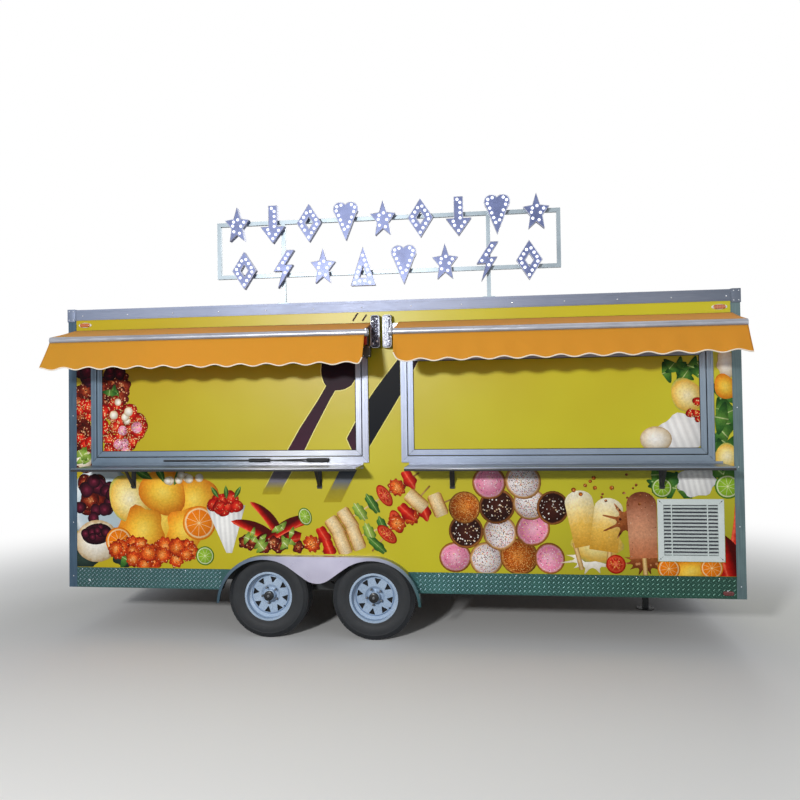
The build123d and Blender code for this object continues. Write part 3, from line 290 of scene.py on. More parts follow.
def filmMaterial(dark, light, shadeTone):
    # cast vinyl film over flat panels: a slow drift of tone, faint ripple, and painted shade that darkens it low at the
    # front end
    made, tree, shader, place = startMaterial("yellowCastFilm", Roughness=0.34, Specular_IOR_Level=0.3)
    parts = addNode(tree, "SeparateXYZ", {0: place})
    drift = addNode(tree, "MapRange", {"Value": parts, "From Min": bodyEnds[0], "From Max": bodyEnds[1]})
    cloud = addNode(tree, "TexNoise", {"Vector": place, "Scale": 1.3, "Detail": 2.0})
    both = addNode(tree, "Math", {0: drift, 1: cloud}, operation="ADD")
    share = addNode(tree, "MapRange", {"Value": both, "From Min": 0.4, "From Max": 1.5})
    dots = addNode(tree, "TexNoise", {"Vector": place, "Scale": 160.0, "Detail": 1.0})
    base = addNode(tree, "Mix", {0: share, 6: dark, 7: light}, data_type="RGBA").outputs[2]
    spotted = addNode(tree, "Mix", {0: dots, 6: base, 7: light}, data_type="RGBA").outputs[2]
    toned = addNode(tree, "Mix", {0: 0.12, 6: base, 7: spotted}, data_type="RGBA").outputs[2]
    # painted shade: the film darkens towards the lower front end
    forward = addNode(tree, "MapRange", {"Value": parts, "From Min": 0.4, "From Max": bodyEnds[1]})
    down = addNode(tree, "MapRange", {"Value": parts.outputs["Z"], "From Min": 1.7, "From Max": 0.6})
    lowFrontShade = addNode(tree, "Math", {0: forward, 1: down}, operation="MULTIPLY")
    shadedFilm = addNode(tree, "Mix", {0: lowFrontShade, 6: toned, 7: shadeTone}, data_type="RGBA").outputs[2]
    ripple = addNode(tree, "TexNoise", {"Vector": place, "Scale": 5.0, "Detail": 1.0})
    bump = addNode(tree, "Bump", {"Height": ripple, "Distance": 0.004, "Strength": 0.25})
    feed(tree, shader, {"Base Color": shadedFilm, "Normal": bump})
    return made


def canvasMaterial(rearTone, frontTone, worn, glow):
    # solution-dyed acrylic: plain weave drawn at 4 mm so that it shows, paler and yellower to the rear end
    made, tree, shader, place = startMaterial("orangeAcrylicCanvas", Roughness=0.82, Sheen_Weight=0.1)
    parts = addNode(tree, "SeparateXYZ", {0: place})
    drift = addNode(tree, "MapRange", {"Value": parts, "From Min": -2.75, "From Max": -1.6})
    cloud = addNode(tree, "TexNoise", {"Vector": place, "Scale": 3.5, "Detail": 3.0})
    base = addNode(tree, "Mix", {0: drift, 6: rearTone, 7: frontTone}, data_type="RGBA").outputs[2]
    faded = addNode(tree, "Mix", {0: cloud, 6: base, 7: worn}, data_type="RGBA").outputs[2]
    toned = addNode(tree, "Mix", {0: 0.25, 6: base, 7: faded}, data_type="RGBA").outputs[2]
    warp, weft = [addNode(tree, "TexWave", {"Vector": place, "Scale": 40.0, "Distortion": 0.3},
                          bands_direction=way).outputs["Fac"] for way in "XZ"]
    weave = addNode(tree, "Math", {0: warp, 1: weft}, operation="MULTIPLY")
    bump = addNode(tree, "Bump", {"Height": weave, "Distance": 0.0004, "Strength": 0.6})
    feed(tree, shader, {"Base Color": toned, "Normal": bump})
    through = addNode(tree, "BsdfTranslucent", {"Color": glow})  # daylight through the cloth
    cloth = addNode(tree, "MixShader", {0: 0.32, 1: shader, 2: through})
    feed(tree, next(node for node in tree.nodes if node.type == "OUTPUT_MATERIAL"), {"Surface": cloth})
    return made


def bulbMaterial(cool, white):  # frosted globe bulbs, lit
    made, tree, shader, place = startMaterial("frostedBulb", Base_Color=rgb("F4F6FF"), Roughness=0.25,
                                              Emission_Strength=1.1)
    cloud = addNode(tree, "TexNoise", {"Vector": place, "Scale": 30.0})
    colour = addNode(tree, "Mix", {0: cloud, 6: cool, 7: white}, data_type="RGBA").outputs[2]
    feed(tree, shader, {"Emission Color": colour})
    return made


finishes.update({
    "castMetal": castMaterial(),
    "amberLens": lensMaterial("amberAcrylicLens", "A2410B", "D97A1E"),
    "redLens": lensMaterial("redAcrylicLens", "4A1014", "7E2420"),
    # the film's dark and light tones, then the tone of its painted shade
    "yellowFilm": filmMaterial(rgb("BAA414"), rgb("CCC524"), rgb("8F8C1E")),
    "awningCanvas": canvasMaterial(rgb("D4A42A"), rgb("E8AA2E"), rgb("DC9A2C"), rgb("F5B050")),
    "bulbGlow": bulbMaterial(rgb("E4E9FF"), rgb("FFFFFF")),
})

# a node takes the first finish whose words its name starts with, or else the chassis paint
nodeFinish = {
    "rim_frame": "chassisPaint", "rim_": "wheelEnamel", "tyre_": "tyreRubber", "wall_": "yellowFilm",
    "hatch_panel": "yellowFilm", "window_frame": "trimAluminium", "hatch_frame": "trimAluminium",
    "corner_posts": "postAluminium", "roof_rails": "railAluminium", "door_frame": "trimAluminium",
    "awning_frame": "barAluminium", "awning_cloth": "awningCanvas", "awning_brackets": "castMetal",
    "shelf_rails": "counterSteel", "shelf_struts": "blackCoat", "shelf_": "counterSteel",
    "strut_plates": "blackCoat", "lock_bar": "blackCoat", "skirts": "treadPlate", "fender": "fenderSheet",
    "floor_deck": "deckPlywood", "wheel_boxes": "boxSheet", "roof_panel": "roofSkin", "sign_frame": "signTube",
    "sign_shapes": "signTray", "louvre_vent": "ventPlastic", "marker_lamps": "amberLens", "tail_lamps": "redLens",
    "entry_door": "doorSkin",
}
for nodeName, node in nodes.items():
    finish = next((f for start, f in nodeFinish.items() if nodeName.startswith(start)), "chassisPaint")
    if not node.material_slots:
        node.data.materials.append(None)
    for nodeSlot in node.material_slots:
        nodeSlot.material = finishes[finish]
print("finishes ready:", len(finishes))

# stage and light


def seenDirectly(tree):  # the eye, mirrors and glass see the white background
    path = addNode(tree, "LightPath")
    seen = addNode(tree, "Math", {0: path.outputs["Is Camera Ray"], 1: path.outputs["Is Glossy Ray"]},
                   operation="MAXIMUM")
    return addNode(tree, "Math", {0: seen, 1: path.outputs["Is Transmission Ray"]}, operation="MAXIMUM")


stage = {"floorHalf": 60, "floorFade": (3.0, 8.0)}  # the pale floor goes over to white between these distances
floorMesh = bmesh.new()
bmesh.ops.create_grid(floorMesh, x_segments=2, y_segments=2, size=stage["floorHalf"])
stageData = bpy.data.meshes.new("stageFloor")
floorMesh.to_mesh(stageData)
floorMesh.free()
stageFloor = placeObject("stageFloor", stageData)
paleFloor = bpy.data.materials.new("paleFloor")
floorTree = emptyTree(paleFloor)
seen = seenDirectly(floorTree)
grit = addNode(floorTree, "TexNoise", {"Scale": 2.0, "Detail": 5.0})
tone = addNode(floorTree, "Mix", {0: grit, 6: rgb("EDEDEB"), 7: rgb("F4F4F2")}, data_type="RGBA").outputs[2]
floorColour = addNode(floorTree, "Mix", {0: seen, 6: rgb("8E8E8C"), 7: tone}, data_type="RGBA").outputs[2]
floorShader = addNode(floorTree, "BsdfDiffuse", {"Color": floorColour})
where = addNode(floorTree, "VectorMath", {0: addNode(floorTree, "TexCoord").outputs["Object"]}, operation="LENGTH")
away = addNode(floorTree, "MapRange", {"Value": where.outputs["Value"], "From Min": stage["floorFade"][0],
                                       "From Max": stage["floorFade"][1]}, interpolation_type="SMOOTHERSTEP")
away = addNode(floorTree, "Math", {0: away, 1: seen}, operation="MULTIPLY")
white = addNode(floorTree, "Emission", {"Color": (1, 1, 1, 1), "Strength": 1.0})
blended = addNode(floorTree, "MixShader", {0: away, 1: floorShader, 2: white})
addNode(floorTree, "OutputMaterial", {"Surface": blended})
stageData.materials.append(paleFloor)

world = bpy.data.worlds.new("studioWorld")
bpy.context.scene.world = world
worldTree = emptyTree(world)
worldColour = addNode(worldTree, "Mix", {0: seenDirectly(worldTree), 6: (0.24, 0.25, 0.27, 1), 7: (1, 1, 1, 1)},
                      data_type="RGBA").outputs[2]
backdrop = addNode(worldTree, "Background", {"Color": worldColour, "Strength": 1.0})
addNode(worldTree, "OutputWorld", {"Surface": backdrop})

# soft boxes: place, target, width and height, watts
softLights = {
    "keyLight": ((-2.2, -10.5, 4.0), (0, -0.5, 1.5), (0.9, 0.6), 640),
    "fillLight": ((6.5, -8.0, 3.0), (0, -0.5, 1.6), (5, 4), 60),
    "rearLight": ((3.0, 10.0, 7.0), (0, 0.5, 1.4), (6, 4), 330),
    "topLight": ((0, 0, 10.0), (0, 0, 0), (8, 5), 110),
}
for lightName, (place, target, size, watts) in softLights.items():
    lamp = bpy.data.lights.new(lightName, "AREA")
    lamp.shape = "RECTANGLE"
    lamp.size, lamp.size_y = size
    lamp.energy = watts
    aim = (Vector(target) - Vector(place)).to_track_quat("-Z", "Y").to_matrix().to_4x4()
    placeObject(lightName, lamp).matrix_world = Matrix.Translation(place) @ aim
bpy.context.scene.view_settings.view_transform = "Standard"
print("stage and lights ready")

# shared shaping helpers


def finishPiece(name, shape, body, materialNames, smoothAngle=35):
    mesh = bpy.data.meshes.new(name)
    shape.to_mesh(mesh)
    shape.free()
    mesh.shade_smooth()
    mesh.set_sharp_from_angle(angle=math.radians(smoothAngle))
    for materialName in materialNames:
        mesh.materials.append(finishes[materialName])
    piece = placeObject(name, mesh)
    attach(piece, body)
    return piece


def mergeShapes(shape, part, material=0, place=None):
    for face in part.faces:
        face.material_index = material
    if place is not None:
        bmesh.ops.transform(part, matrix=place, verts=part.verts)
    bmesh.ops.recalc_face_normals(part, faces=part.faces)
    carrier = bpy.data.meshes.new("carrier")
    part.to_mesh(carrier)
    part.free()
    shape.from_mesh(carrier)
    bpy.data.meshes.remove(carrier)


def soften(part, edges, reach):
    bmesh.ops.bevel(part, geom=edges, offset=reach, offset_type="OFFSET", affect="EDGES", segments=2, profile=0.5,
                    material=-1)


def facing(direction):
    return Vector(direction).to_track_quat("Z", "Y").to_matrix().to_4x4()


def addBlock(shape, low, high, bevel=0.0, material=0):
    part = bmesh.new()
    bmesh.ops.create_cube(part, size=1)
    bmesh.ops.scale(part, vec=[b - a for a, b in zip(low, high)], verts=part.verts)
    bmesh.ops.translate(part, vec=[(a + b) / 2 for a, b in zip(low, high)], verts=part.verts)
    if bevel:
        soften(part, part.edges, bevel)
    mergeShapes(shape, part, material)


def addRod(shape, start, end, radius, steps=16, bevel=0.0, material=0):
    start, end = Vector(start), Vector(end)
    part = bmesh.new()
    bmesh.ops.create_cone(part, cap_ends=True, segments=steps, radius1=radius, radius2=radius,
                          depth=(end - start).length)
    if bevel:
        soften(part, [e for e in part.edges if abs(e.verts[0].co.z - e.verts[1].co.z) < 1e-6], bevel)
    mergeShapes(shape, part, material, Matrix.Translation((start + end) / 2) @ facing(end - start))


def addStud(shape, place, direction, radius, height, material=0, steps=10):
    part = bmesh.new()  # a low dome, half of it sunk
    bmesh.ops.create_uvsphere(part, u_segments=steps, v_segments=6, radius=1)
    bmesh.ops.scale(part, vec=(radius, radius, height), verts=part.verts)
    mergeShapes(shape, part, material, Matrix.Translation(place) @ facing(direction))


def addStudRow(shape, start, step, count, direction, radius, height):
    for i in range(count):
        addStud(shape, [a + b * i for a, b in zip(start, step)], direction, radius, height)


def addTube(shape, points, radius, steps=8, material=0, smooth=True, closed=False):
    curve = bpy.data.curves.new("path", "CURVE")
    curve.dimensions = "3D"
    spline = curve.splines.new("NURBS" if smooth else "POLY")
    spline.points.add(len(points) - 1)
    for point, target in zip(spline.points, points):
        point.co = (*target, 1)
    spline.use_cyclic_u = closed
    if smooth:
        spline.order_u = 3
        spline.use_endpoint_u = not closed
    curve.bevel_depth = radius
    curve.bevel_resolution = max(0, steps // 4 - 1)
    curve.resolution_u = 6
    curve.use_fill_caps = not closed
    holder = bpy.data.objects.new("path", curve)
    part = bmesh.new()
    made = bpy.data.meshes.new_from_object(holder)
    part.from_mesh(made)
    bpy.data.objects.remove(holder)
    bpy.data.curves.remove(curve)
    bpy.data.meshes.remove(made)
    bmesh.ops.remove_doubles(part, verts=part.verts, dist=1e-6)
    mergeShapes(shape, part, material)


def spinRing(ring, centre, steps):  # a closed outline turned round a wheel's axis
    shape = bmesh.new()
    corners = [shape.verts.new(point) for point in ring]
    edges = [shape.edges.new((corners[i - 1], corners[i])) for i in range(len(corners))]
    bmesh.ops.spin(shape, geom=corners + edges, cent=centre, axis=(0, 1, 0), dvec=(0, 0, 0), angle=2 * math.pi,
                   steps=steps, use_merge=True, use_normal_flip=False, use_duplicate=False)
    bmesh.ops.remove_doubles(shape, verts=shape.verts, dist=1e-6)
    bmesh.ops.recalc_face_normals(shape, faces=shape.faces)
    return shape


# wheels: where each rim stands, and the side that its face looks to

wheels = {}
for end in ("front", "rear"):
    for side, outward in (("serving", -1), ("far", 1)):
        low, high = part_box(f"rim_{end}_{side}")
        wheels[f"{end}_{side}"] = {
            "title": end.capitalize() + side.capitalize(), "outward": outward,
            "middle": (low + high) / 2, "face": low.y if outward < 0 else high.y,
        }

# tyres

tyre = {
    "steps": 72, "blockGap": 0.0024, "blockRise": 0.00588, "treadFrom": 0.972,
    # half a section: share of the outer radius, share of half the width, from the bead to the middle of the tread
    "section": [(0.560, 0.78), (0.572, 0.84), (0.600, 0.865), (0.618, 0.895), (0.632, 0.890), (0.690, 0.955),
                (0.760, 0.995), (0.820, 1.0), (0.868, 0.985), (0.874, 0.995), (0.890, 0.99), (0.896, 0.97),
                (0.945, 0.905), (0.968, 0.86), (0.979, 0.80), (0.9825, 0.62), (0.962, 0.60), (0.962, 0.55),
                (0.9825, 0.53), (0.9825, 0.27), (0.962, 0.25), (0.962, 0.20), (0.9825, 0.18)],
    "liner": [(0.93, 0.70), (0.90, 0.82), (0.76, 0.90), (0.64, 0.80)],
}


def makeTyre(place, title):
    low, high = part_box(f"tyre_{place}")
    radius, half = (high.z - low.z) / 2, (high.y - low.y) / 2
    ring = tyre["section"] + [(r, -w) for r, w in reversed(tyre["section"])]
    ring += [(r, -w) for r, w in reversed(tyre["liner"])] + tyre["liner"]
    shape = spinRing([(0, w * half, r * radius) for r, w in ring], (0, 0, 0), tyre["steps"])
    ribs = [f for f in shape.faces if abs(f.normal.y) < 0.35 and
            math.hypot(f.calc_center_median().x, f.calc_center_median().z) > tyre["treadFrom"] * radius]
    bmesh.ops.inset_individual(shape, faces=ribs, thickness=tyre["blockGap"], depth=tyre["blockRise"])
    bmesh.ops.translate(shape, vec=(low + high) / 2, verts=shape.verts)
    piece = finishPiece(f"tyre{title}", shape, f"wheel_{place}", ["tyreRubber"], 28)
    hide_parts(f"tyre_{place}")


for place, wheel in wheels.items():
    makeTyre(place, wheel["title"])
print("tyres built")

# wheel fittings: centre cap with its nub, nuts on their studs

wheelFit = {
    "capRadius": 0.041, "nubRadius": 0.012, "nuts": 5, "nutCircle": 0.066, "nutRadius": 0.0095, "firstNut": 46.5,
    # depths from the rim's face, from the back to the front of each
    "cap": (0.034, -0.0015), "nub": (0.004, -0.007), "nut": (0.066, 0.038), "stud": (0.040, 0.033),
}


def makeWheelFittings(place, wheel):
    shape = bmesh.new()

    def fit(part, radius, steps, bevel, material, x=0, z=0):
        ends = [(wheel["middle"].x + x, wheel["face"] - wheel["outward"] * depth, wheel["middle"].z + z)
                for depth in wheelFit[part]]
        addRod(shape, *ends, radius, steps, bevel, material)

    fit("cap", wheelFit["capRadius"], 28, 0.006, 0)
    fit("nub", wheelFit["nubRadius"], 24, 0.003, 1)
    for i in range(wheelFit["nuts"]):
        turn = math.radians(wheelFit["firstNut"] + 360 / wheelFit["nuts"] * i)
        x, z = wheelFit["nutCircle"] * math.sin(turn), wheelFit["nutCircle"] * math.cos(turn)
        fit("nut", wheelFit["nutRadius"], 6, 0.0015, 1, x, z)
        fit("stud", wheelFit["nutRadius"] * 0.62, 12, 0.0015, 1, x, z)
    finishPiece("hubFittings" + wheel["title"], shape, f"wheel_{place}",
                ["blackNylon", "dullSteel"])


for place, wheel in wheels.items():
    makeWheelFittings(place, wheel)
print("hub fittings built")

# awning cloth

awning = {
    "scallop": 0.208, "scallopDrop": 0.0105, "foldWave": 0.42, "foldDepth": 0.006, "sag": 0.006,
    "barRadius": 0.028, "thick": 0.0012, "columns": 150, "tape": 0.0052, "cornerRound": 0.05,
    "grip": 0.021,  # how far below the bar's middle its groove holds the valance
    "rows": {"canopy": 8, "valance": 14},
    # creases: start and end as x and share of the drop, then depth and width
    "creases": [(-0.66, 0.98, -0.09, 0.30, 0.007, 0.016), (-0.40, 0.95, -0.10, 0.62, 0.005, 0.012),
                (1.05, 0.10, 1.22, 0.85, 0.004, 0.014), (2.30, 0.20, 2.10, 0.95, 0.004, 0.016)],
    "creaseDrop": 0.25,  # the drop that the shares above are taken of
}


def awningFold(x, seed):  # slow waves that never repeat along the cloth
    return (math.sin(x * 2 * math.pi / awning["foldWave"] + seed) + 0.6 * math.sin(x * 5.7 + 2 * seed)
            + 0.4 * math.sin(x * 27 + seed * 3)) / 2


def creaseDepth(x, share):
    drop, depth = awning["creaseDrop"], 0
    for x0, s0, x1, s1, deep, wide in awning["creases"]:
        a, b, point = Vector((x0, drop * s0)), Vector((x1, drop * s1)), Vector((x, drop * share))
        along = max(0, min(1, (point - a).dot(b - a) / (b - a).length_squared))
        near = (point - a.lerp(b, along)).length
        depth += deep * math.sin(math.pi * max(0.05, along)) * math.exp(-(near / wide) ** 2)
    return depth


def makeAwning(end, seed, droop, flare):  # droop and flare: how the hem's two ends hang lower and lean out
    low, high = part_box(f"awning_cloth_{end}")
    width = high.x - low.x
    bar, grip = awning["barRadius"], awning["grip"]
    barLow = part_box("awning_frame_front")[0]  # the lead bars of both awnings lie in one line
    barY, barMiddle = barLow.y + bar, barLow.z + bar
    sheets, edge = {}, []
    for part, rows in awning["rows"].items():
        shape = bmesh.new()
        bmesh.ops.create_grid(shape, x_segments=awning["columns"], y_segments=rows, size=0.5)
        for v in shape.verts:
            x, share = low.x + (v.co.x + 0.5) * width, 0.5 - v.co.y
            if part == "canopy":  # wall rail down to the top of the bar, sagging a little between
                y = high.y + (barY - high.y) * share
                z = high.z - 0.002 + (barMiddle + bar + 0.0015 - high.z) * share
                z -= awning["sag"] * math.sin(math.pi * share) * (1 + 0.5 * awningFold(x, seed))
            else:  # outer side of the bar down to the scalloped hem
                fold = awningFold(x, seed + 1) * awning["foldDepth"] * share
                start = barY - math.sqrt(bar ** 2 - grip ** 2) - awning["thick"]
                lean = start + (low.y - start) * (share ** 1.1)
                y = max(low.y + 0.004, lean + fold - creaseDepth(x, share)) - 0.001
                wave = math.cos(2 * math.pi * (x - low.x) / awning["scallop"])
                along = (x - low.x) / width
                hem = low.z + awning["scallopDrop"] * (1 + wave) + droop[0] + (droop[1] - droop[0]) * along
                inner = (high.x - x) if end == "rear" else (x - low.x)
                if inner < awning["cornerRound"]:  # the corner by the brackets is cut round
                    bite = 1 - inner / awning["cornerRound"]
                    hem += awning["cornerRound"] * (1 - math.sqrt(max(0, 1 - bite * bite)))
                z = barMiddle - grip + (hem - barMiddle + grip) * share
                x += (flare[0] * (1 - along) + flare[1] * along) * share
                if share > 0.999:
                    edge.append(Vector((x, y, z)))
            v.co = (x, y, z)
        sheets[part] = shape
    edge.sort(key=lambda point: point.x)
    tape = bmesh.new()
    addTube(tape, edge, awning["tape"], 8, 0)
    tapePiece = finishPiece(f"hemTape{end.capitalize()}", tape, "trailer", ["edgingTape"])
    for part, shape in sheets.items():
        piece = finishPiece(f"{part}{end.capitalize()}", shape, "trailer", ["awningCanvas"], 60)
        thick = piece.modifiers.new("clothThickness", "SOLIDIFY")
        thick.thickness = awning["thick"]
        thick.offset = 0
        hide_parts(f"awning_cloth_{end}")


makeAwning("rear", 0.4, (-0.012, -0.014), (-0.020, 0.0))
makeAwning("front", 2.1, (-0.002, 0.016), (0.016, 0.0))
print("awnings built")

# sign bulbs and tray edges

sign = {
    "bulbRadius": 0.0125, "pitch": 0.042, "inset": 0.023, "edgeRadius": 0.0035, "clear": 0.018, "apart": 0.034,
    "near": (0.15, 0.2),  # outlines whose middles are this close belong to one tray
}


def frontLoops(node):  # closed outlines of the flat fronts that face the street
    part = bmesh.new()
    part.from_mesh(nodes[node].data)
    bmesh.ops.remove_doubles(part, verts=part.verts, dist=1e-5)
    front = min(v.co.y for v in part.verts)
    faces = [f for f in part.faces if f.normal.y < -0.99 and abs(f.calc_center_median().y - front) < 0.002]
    after = {}
    for face in faces:
        for loop in face.loops:
            if len([f for f in loop.edge.link_faces if f in faces]) == 1:
                after[loop.vert.index] = (loop.link_loop_next.vert.index, loop.vert.co.copy())
    outlines = []
    while after:
        outline, key = [], next(iter(after))
        while key in after:
            key, point = after.pop(key)
            outline.append(point)
        outlines.append(outline)
    part.free()
    return outlines


def insetPoints(outline):  # points along an outline, moved to its inner side
    points = []
    left = 0.5 * sign["pitch"]
    for i, start in enumerate(outline):
        run = outline[(i + 1) % len(outline)] - start
        inner = Vector((-run.z, 0, run.x)).normalized() * sign["inset"]
        while left < run.length:
            points.append(start + run * (left / run.length) + inner)
            left += sign["pitch"] / 4
        left -= run.length
    return points


def edgeDistance(point, outlines):
    best = 1.0
    for outline in outlines:
        for i, a in enumerate(outline):
            run = outline[(i + 1) % len(outline)] - a
            share = max(0, min(1, (point - a).dot(run) / max(run.length_squared, 1e-12)))
            best = min(best, (point - a - run * share).length)
    return best


def insideTray(point, outlines):
    crossings = 0
    for outline in outlines:
        for i, a in enumerate(outline):
            b = outline[i - 1]
            if (a.z > point.z) != (b.z > point.z) and point.x < a.x + (point.z - a.z) * (b.x - a.x) / (b.z - a.z):
                crossings += 1
    return crossings % 2 == 1


trayLoops = frontLoops("sign_shapes")
middles = [sum(outline, Vector()) / len(outline) for outline in trayLoops]
bulbs, trayEdges = bmesh.new(), bmesh.new()
placed = []
for outline, middle in zip(trayLoops, middles):
    tray = [o for o, m in zip(trayLoops, middles)
            if abs(m.x - middle.x) < sign["near"][0] and abs(m.z - middle.z) < sign["near"][1]]
    for point in insetPoints(outline):
        clear = insideTray(point, tray) and edgeDistance(point, tray) > sign["clear"]
        if clear and all((point - p).length > sign["apart"] for p in placed):
            placed.append(point)
    addTube(trayEdges, [p + Vector((0, -0.001, 0)) for p in outline], sign["edgeRadius"], 4, 0, False, True)
for point in placed:
    addStud(bulbs, point, (0, -1, 0), sign["bulbRadius"], sign["bulbRadius"] * 0.9, 0, 10)
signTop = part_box("sign_shapes")[1].z
for v in trayEdges.verts:
    v.co.z = min(v.co.z, signTop)
finishPiece("signBulbs", bulbs, "trailer", ["bulbGlow"], 60)
finishPiece("signTrayEdges", trayEdges, "trailer", ["signEdge"], 60)
print("sign bulbs:", len(placed))

# lozenges of the tread plate

tread = {
    "long": 0.0125, "wide": 0.0036, "high": 0.0016, "pitch": 0.038, "margin": 0.004,
    "under": 0.040,  # how far a field runs on behind the fender's foot
    "ends": (0.070, 0.068), "across": 0.076,  # bare plate left at the corner posts
}


def repeatShape(shape, count, step):  # copies of all that shape holds, one step apart
    verts = list(shape.verts)
    geometry = verts + list({e for v in verts for e in v.link_edges}) + list({f for v in verts for f in v.link_faces})
    for i in range(1, count):
        copy = bmesh.ops.duplicate(shape, geom=geometry)["geom"]
        bmesh.ops.translate(shape, vec=step * i, verts=[g for g in copy if isinstance(g, bmesh.types.BMVert)])


def treadField(shape, corner, along, outward, length, height):
    # staggered lozenges, every other one leaning the other way
    margin, pitch = tread["margin"], tread["pitch"]
    rows = max(1, round((height - 2 * margin) / (pitch / 2)))
    count = int((length - 2 * margin) / pitch)
    along, up, outward = Vector(along), Vector((0, 0, 1)), Vector(outward)
    turn = Matrix((along, up, outward)).transposed().to_4x4()
    for row in range(rows):
        lean = math.radians(45 if row % 2 else -45)
        part = bmesh.new()
        bmesh.ops.create_uvsphere(part, u_segments=8, v_segments=4, radius=1)
        bmesh.ops.scale(part, vec=(tread["long"], tread["wide"], tread["high"]), verts=part.verts)
        bmesh.ops.rotate(part, cent=(0, 0, 0), matrix=Matrix.Rotation(lean, 3, "Z"), verts=part.verts)
        offset = pitch / 2 * (row % 2) + margin + tread["long"] / 2
        rise = margin + (row + 0.5) * (height - 2 * margin) / rows
        bmesh.ops.transform(part, matrix=turn, verts=part.verts)
        bmesh.ops.translate(part, vec=Vector(corner) + along * offset + up * rise, verts=part.verts)
        repeatShape(part, count, along * pitch)
        # rows that lean one way take the lit crest, the others the shaded one: painted light and shade
        mergeShapes(shape, part, 1 - row % 2)


skirtLow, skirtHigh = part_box("skirts")
plates = bmesh.new()
skirtHeight = skirtHigh.z - skirtLow.z
for side, y, outward in (("serving", skirtLow.y, -1), ("far", skirtHigh.y, 1)):
    archLow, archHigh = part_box(f"fender_{side}")
    for start, stop in ((skirtLow.x + tread["ends"][0], archLow.x + tread["under"]),
                        (archHigh.x - tread["under"], skirtHigh.x - tread["ends"][1])):
        treadField(plates, (start, y, skirtLow.z), (1, 0, 0), (0, outward, 0), stop - start, skirtHeight)
for x, outward in ((skirtLow.x, -1), (skirtHigh.x, 1)):
    treadField(plates, (x, skirtLow.y + tread["across"], skirtLow.z), (0, 1, 0), (outward, 0, 0),
               skirtHigh.y - skirtLow.y - 2 * tread["across"], skirtHeight)
finishPiece("treadLozenges", plates, "trailer", ["treadCrestLit", "treadShade"], 60)
print("tread plate built")

# printed film: bars and fruit over the yellow


def printMaterial(name, across, stops, shade=0.4, spokes=None, speckle=None, grain=(16, 0.25), wobble=0.1):
    # printed vinyl: tone runs over each motif's own coordinates, darker low on the right, so forms look round
    made, tree, shader, place = startMaterial(name, Roughness=0.42, Specular_IOR_Level=0.08)
    own = addNode(tree, "UVMap", uv_map="print")
    parts = addNode(tree, "SeparateXYZ", {0: own})
    if across == "radius":
        base = addNode(tree, "VectorMath", {0: own}, operation="LENGTH").outputs["Value"]
    elif across == "width":
        base = addNode(tree, "Math", {0: parts}, operation="ABSOLUTE")
    else:
        base = addNode(tree, "MapRange", {"Value": parts.outputs["Y"], "From Min": -1, "From Max": 1})
    cloud = addNode(tree, "TexNoise", {"Vector": place, "Scale": 26.0, "Detail": 4.0, "Roughness": 0.65})
    shift = addNode(tree, "MapRange", {"Value": cloud, "To Min": -wobble, "To Max": wobble})
    moved = addNode(tree, "Math", {0: base, 1: shift}, operation="ADD")
    colour = addNode(tree, "ValToRGB", {0: moved}, stops=stops)
    if spokes:  # pale lines between a fruit's segments: how many, how wide, their colour, how far out
        count, width, spokeColour, reach = spokes
        angle = addNode(tree, "Math", {0: parts.outputs["Y"], 1: parts}, operation="ARCTAN2")
        turns = addNode(tree, "Math", {0: angle, 1: count / (2 * math.pi)}, operation="MULTIPLY")
        folded = addNode(tree, "Math", {0: turns, 1: 0.5}, operation="PINGPONG")
        aside = addNode(tree, "Math", {0: folded, 1: base}, operation="MULTIPLY")
        line = addNode(tree, "MapRange", {"Value": aside, "From Min": width, "From Max": width * 0.4})
        inside = addNode(tree, "Math", {0: base, 1: reach}, operation="LESS_THAN")
        mask = addNode(tree, "Math", {0: line, 1: inside}, operation="MULTIPLY")
        colour = addNode(tree, "Mix", {0: mask, 6: colour, 7: rgb(spokeColour)}, data_type="RGBA").outputs[2]
    if speckle:  # crumbs and sprinkles: size in mm, share of the cells that hold one, colours, how far out
        sizeMm, share, colours, reach = speckle
        cells = addNode(tree, "TexVoronoi", {"Vector": place, "Scale": 1000 / sizeMm})
        pick = addNode(tree, "SeparateColor", {0: cells.outputs["Color"]})
        paint = addNode(tree, "ValToRGB", {0: pick}, stops={i / len(colours): c for i, c in enumerate(colours)})
        paint.color_ramp.interpolation = "CONSTANT"
        near = addNode(tree, "Math", {0: cells.outputs["Distance"], 1: 0.42}, operation="LESS_THAN")
        some = addNode(tree, "Math", {0: pick.outputs[1], 1: share}, operation="LESS_THAN")
        inside = addNode(tree, "Math", {0: base, 1: reach}, operation="LESS_THAN")
        mask = addNode(tree, "Math", {0: near, 1: some}, operation="MULTIPLY")
        mask = addNode(tree, "Math", {0: mask, 1: inside}, operation="MULTIPLY")
        colour = addNode(tree, "Mix", {0: mask, 6: colour, 7: paint}, data_type="RGBA").outputs[2]
    grainMm, depth = grain
    dust = addNode(tree, "TexNoise", {"Vector": place, "Scale": 1000 / grainMm, "Detail": 4.0, "Roughness": 0.7})
    grit = addNode(tree, "MapRange", {"Value": dust, "From Min": 0.3, "From Max": 0.7, "To Min": 1 - depth,
                                      "To Max": 1 + depth * 0.6})
    lit = addNode(tree, "VectorMath", {0: own, 1: (-0.35, 0.4, 0)}, operation="DISTANCE")
    rounded = addNode(tree, "MapRange", {"Value": lit.outputs["Value"], "From Min": 0.25, "From Max": 1.45,
                                         "To Min": 1.12, "To Max": 1 - shade})
    gain = addNode(tree, "Math", {0: grit, 1: rounded}, operation="MULTIPLY")
    toned = addNode(tree, "VectorMath", {0: colour, "Scale": gain}, operation="SCALE")
    feed(tree, shader, {"Base Color": toned})
    return made


sprinkles = ["F7F3EC", "F2B8C6", "5A2418", "F4E05A", "FFFFFF"]
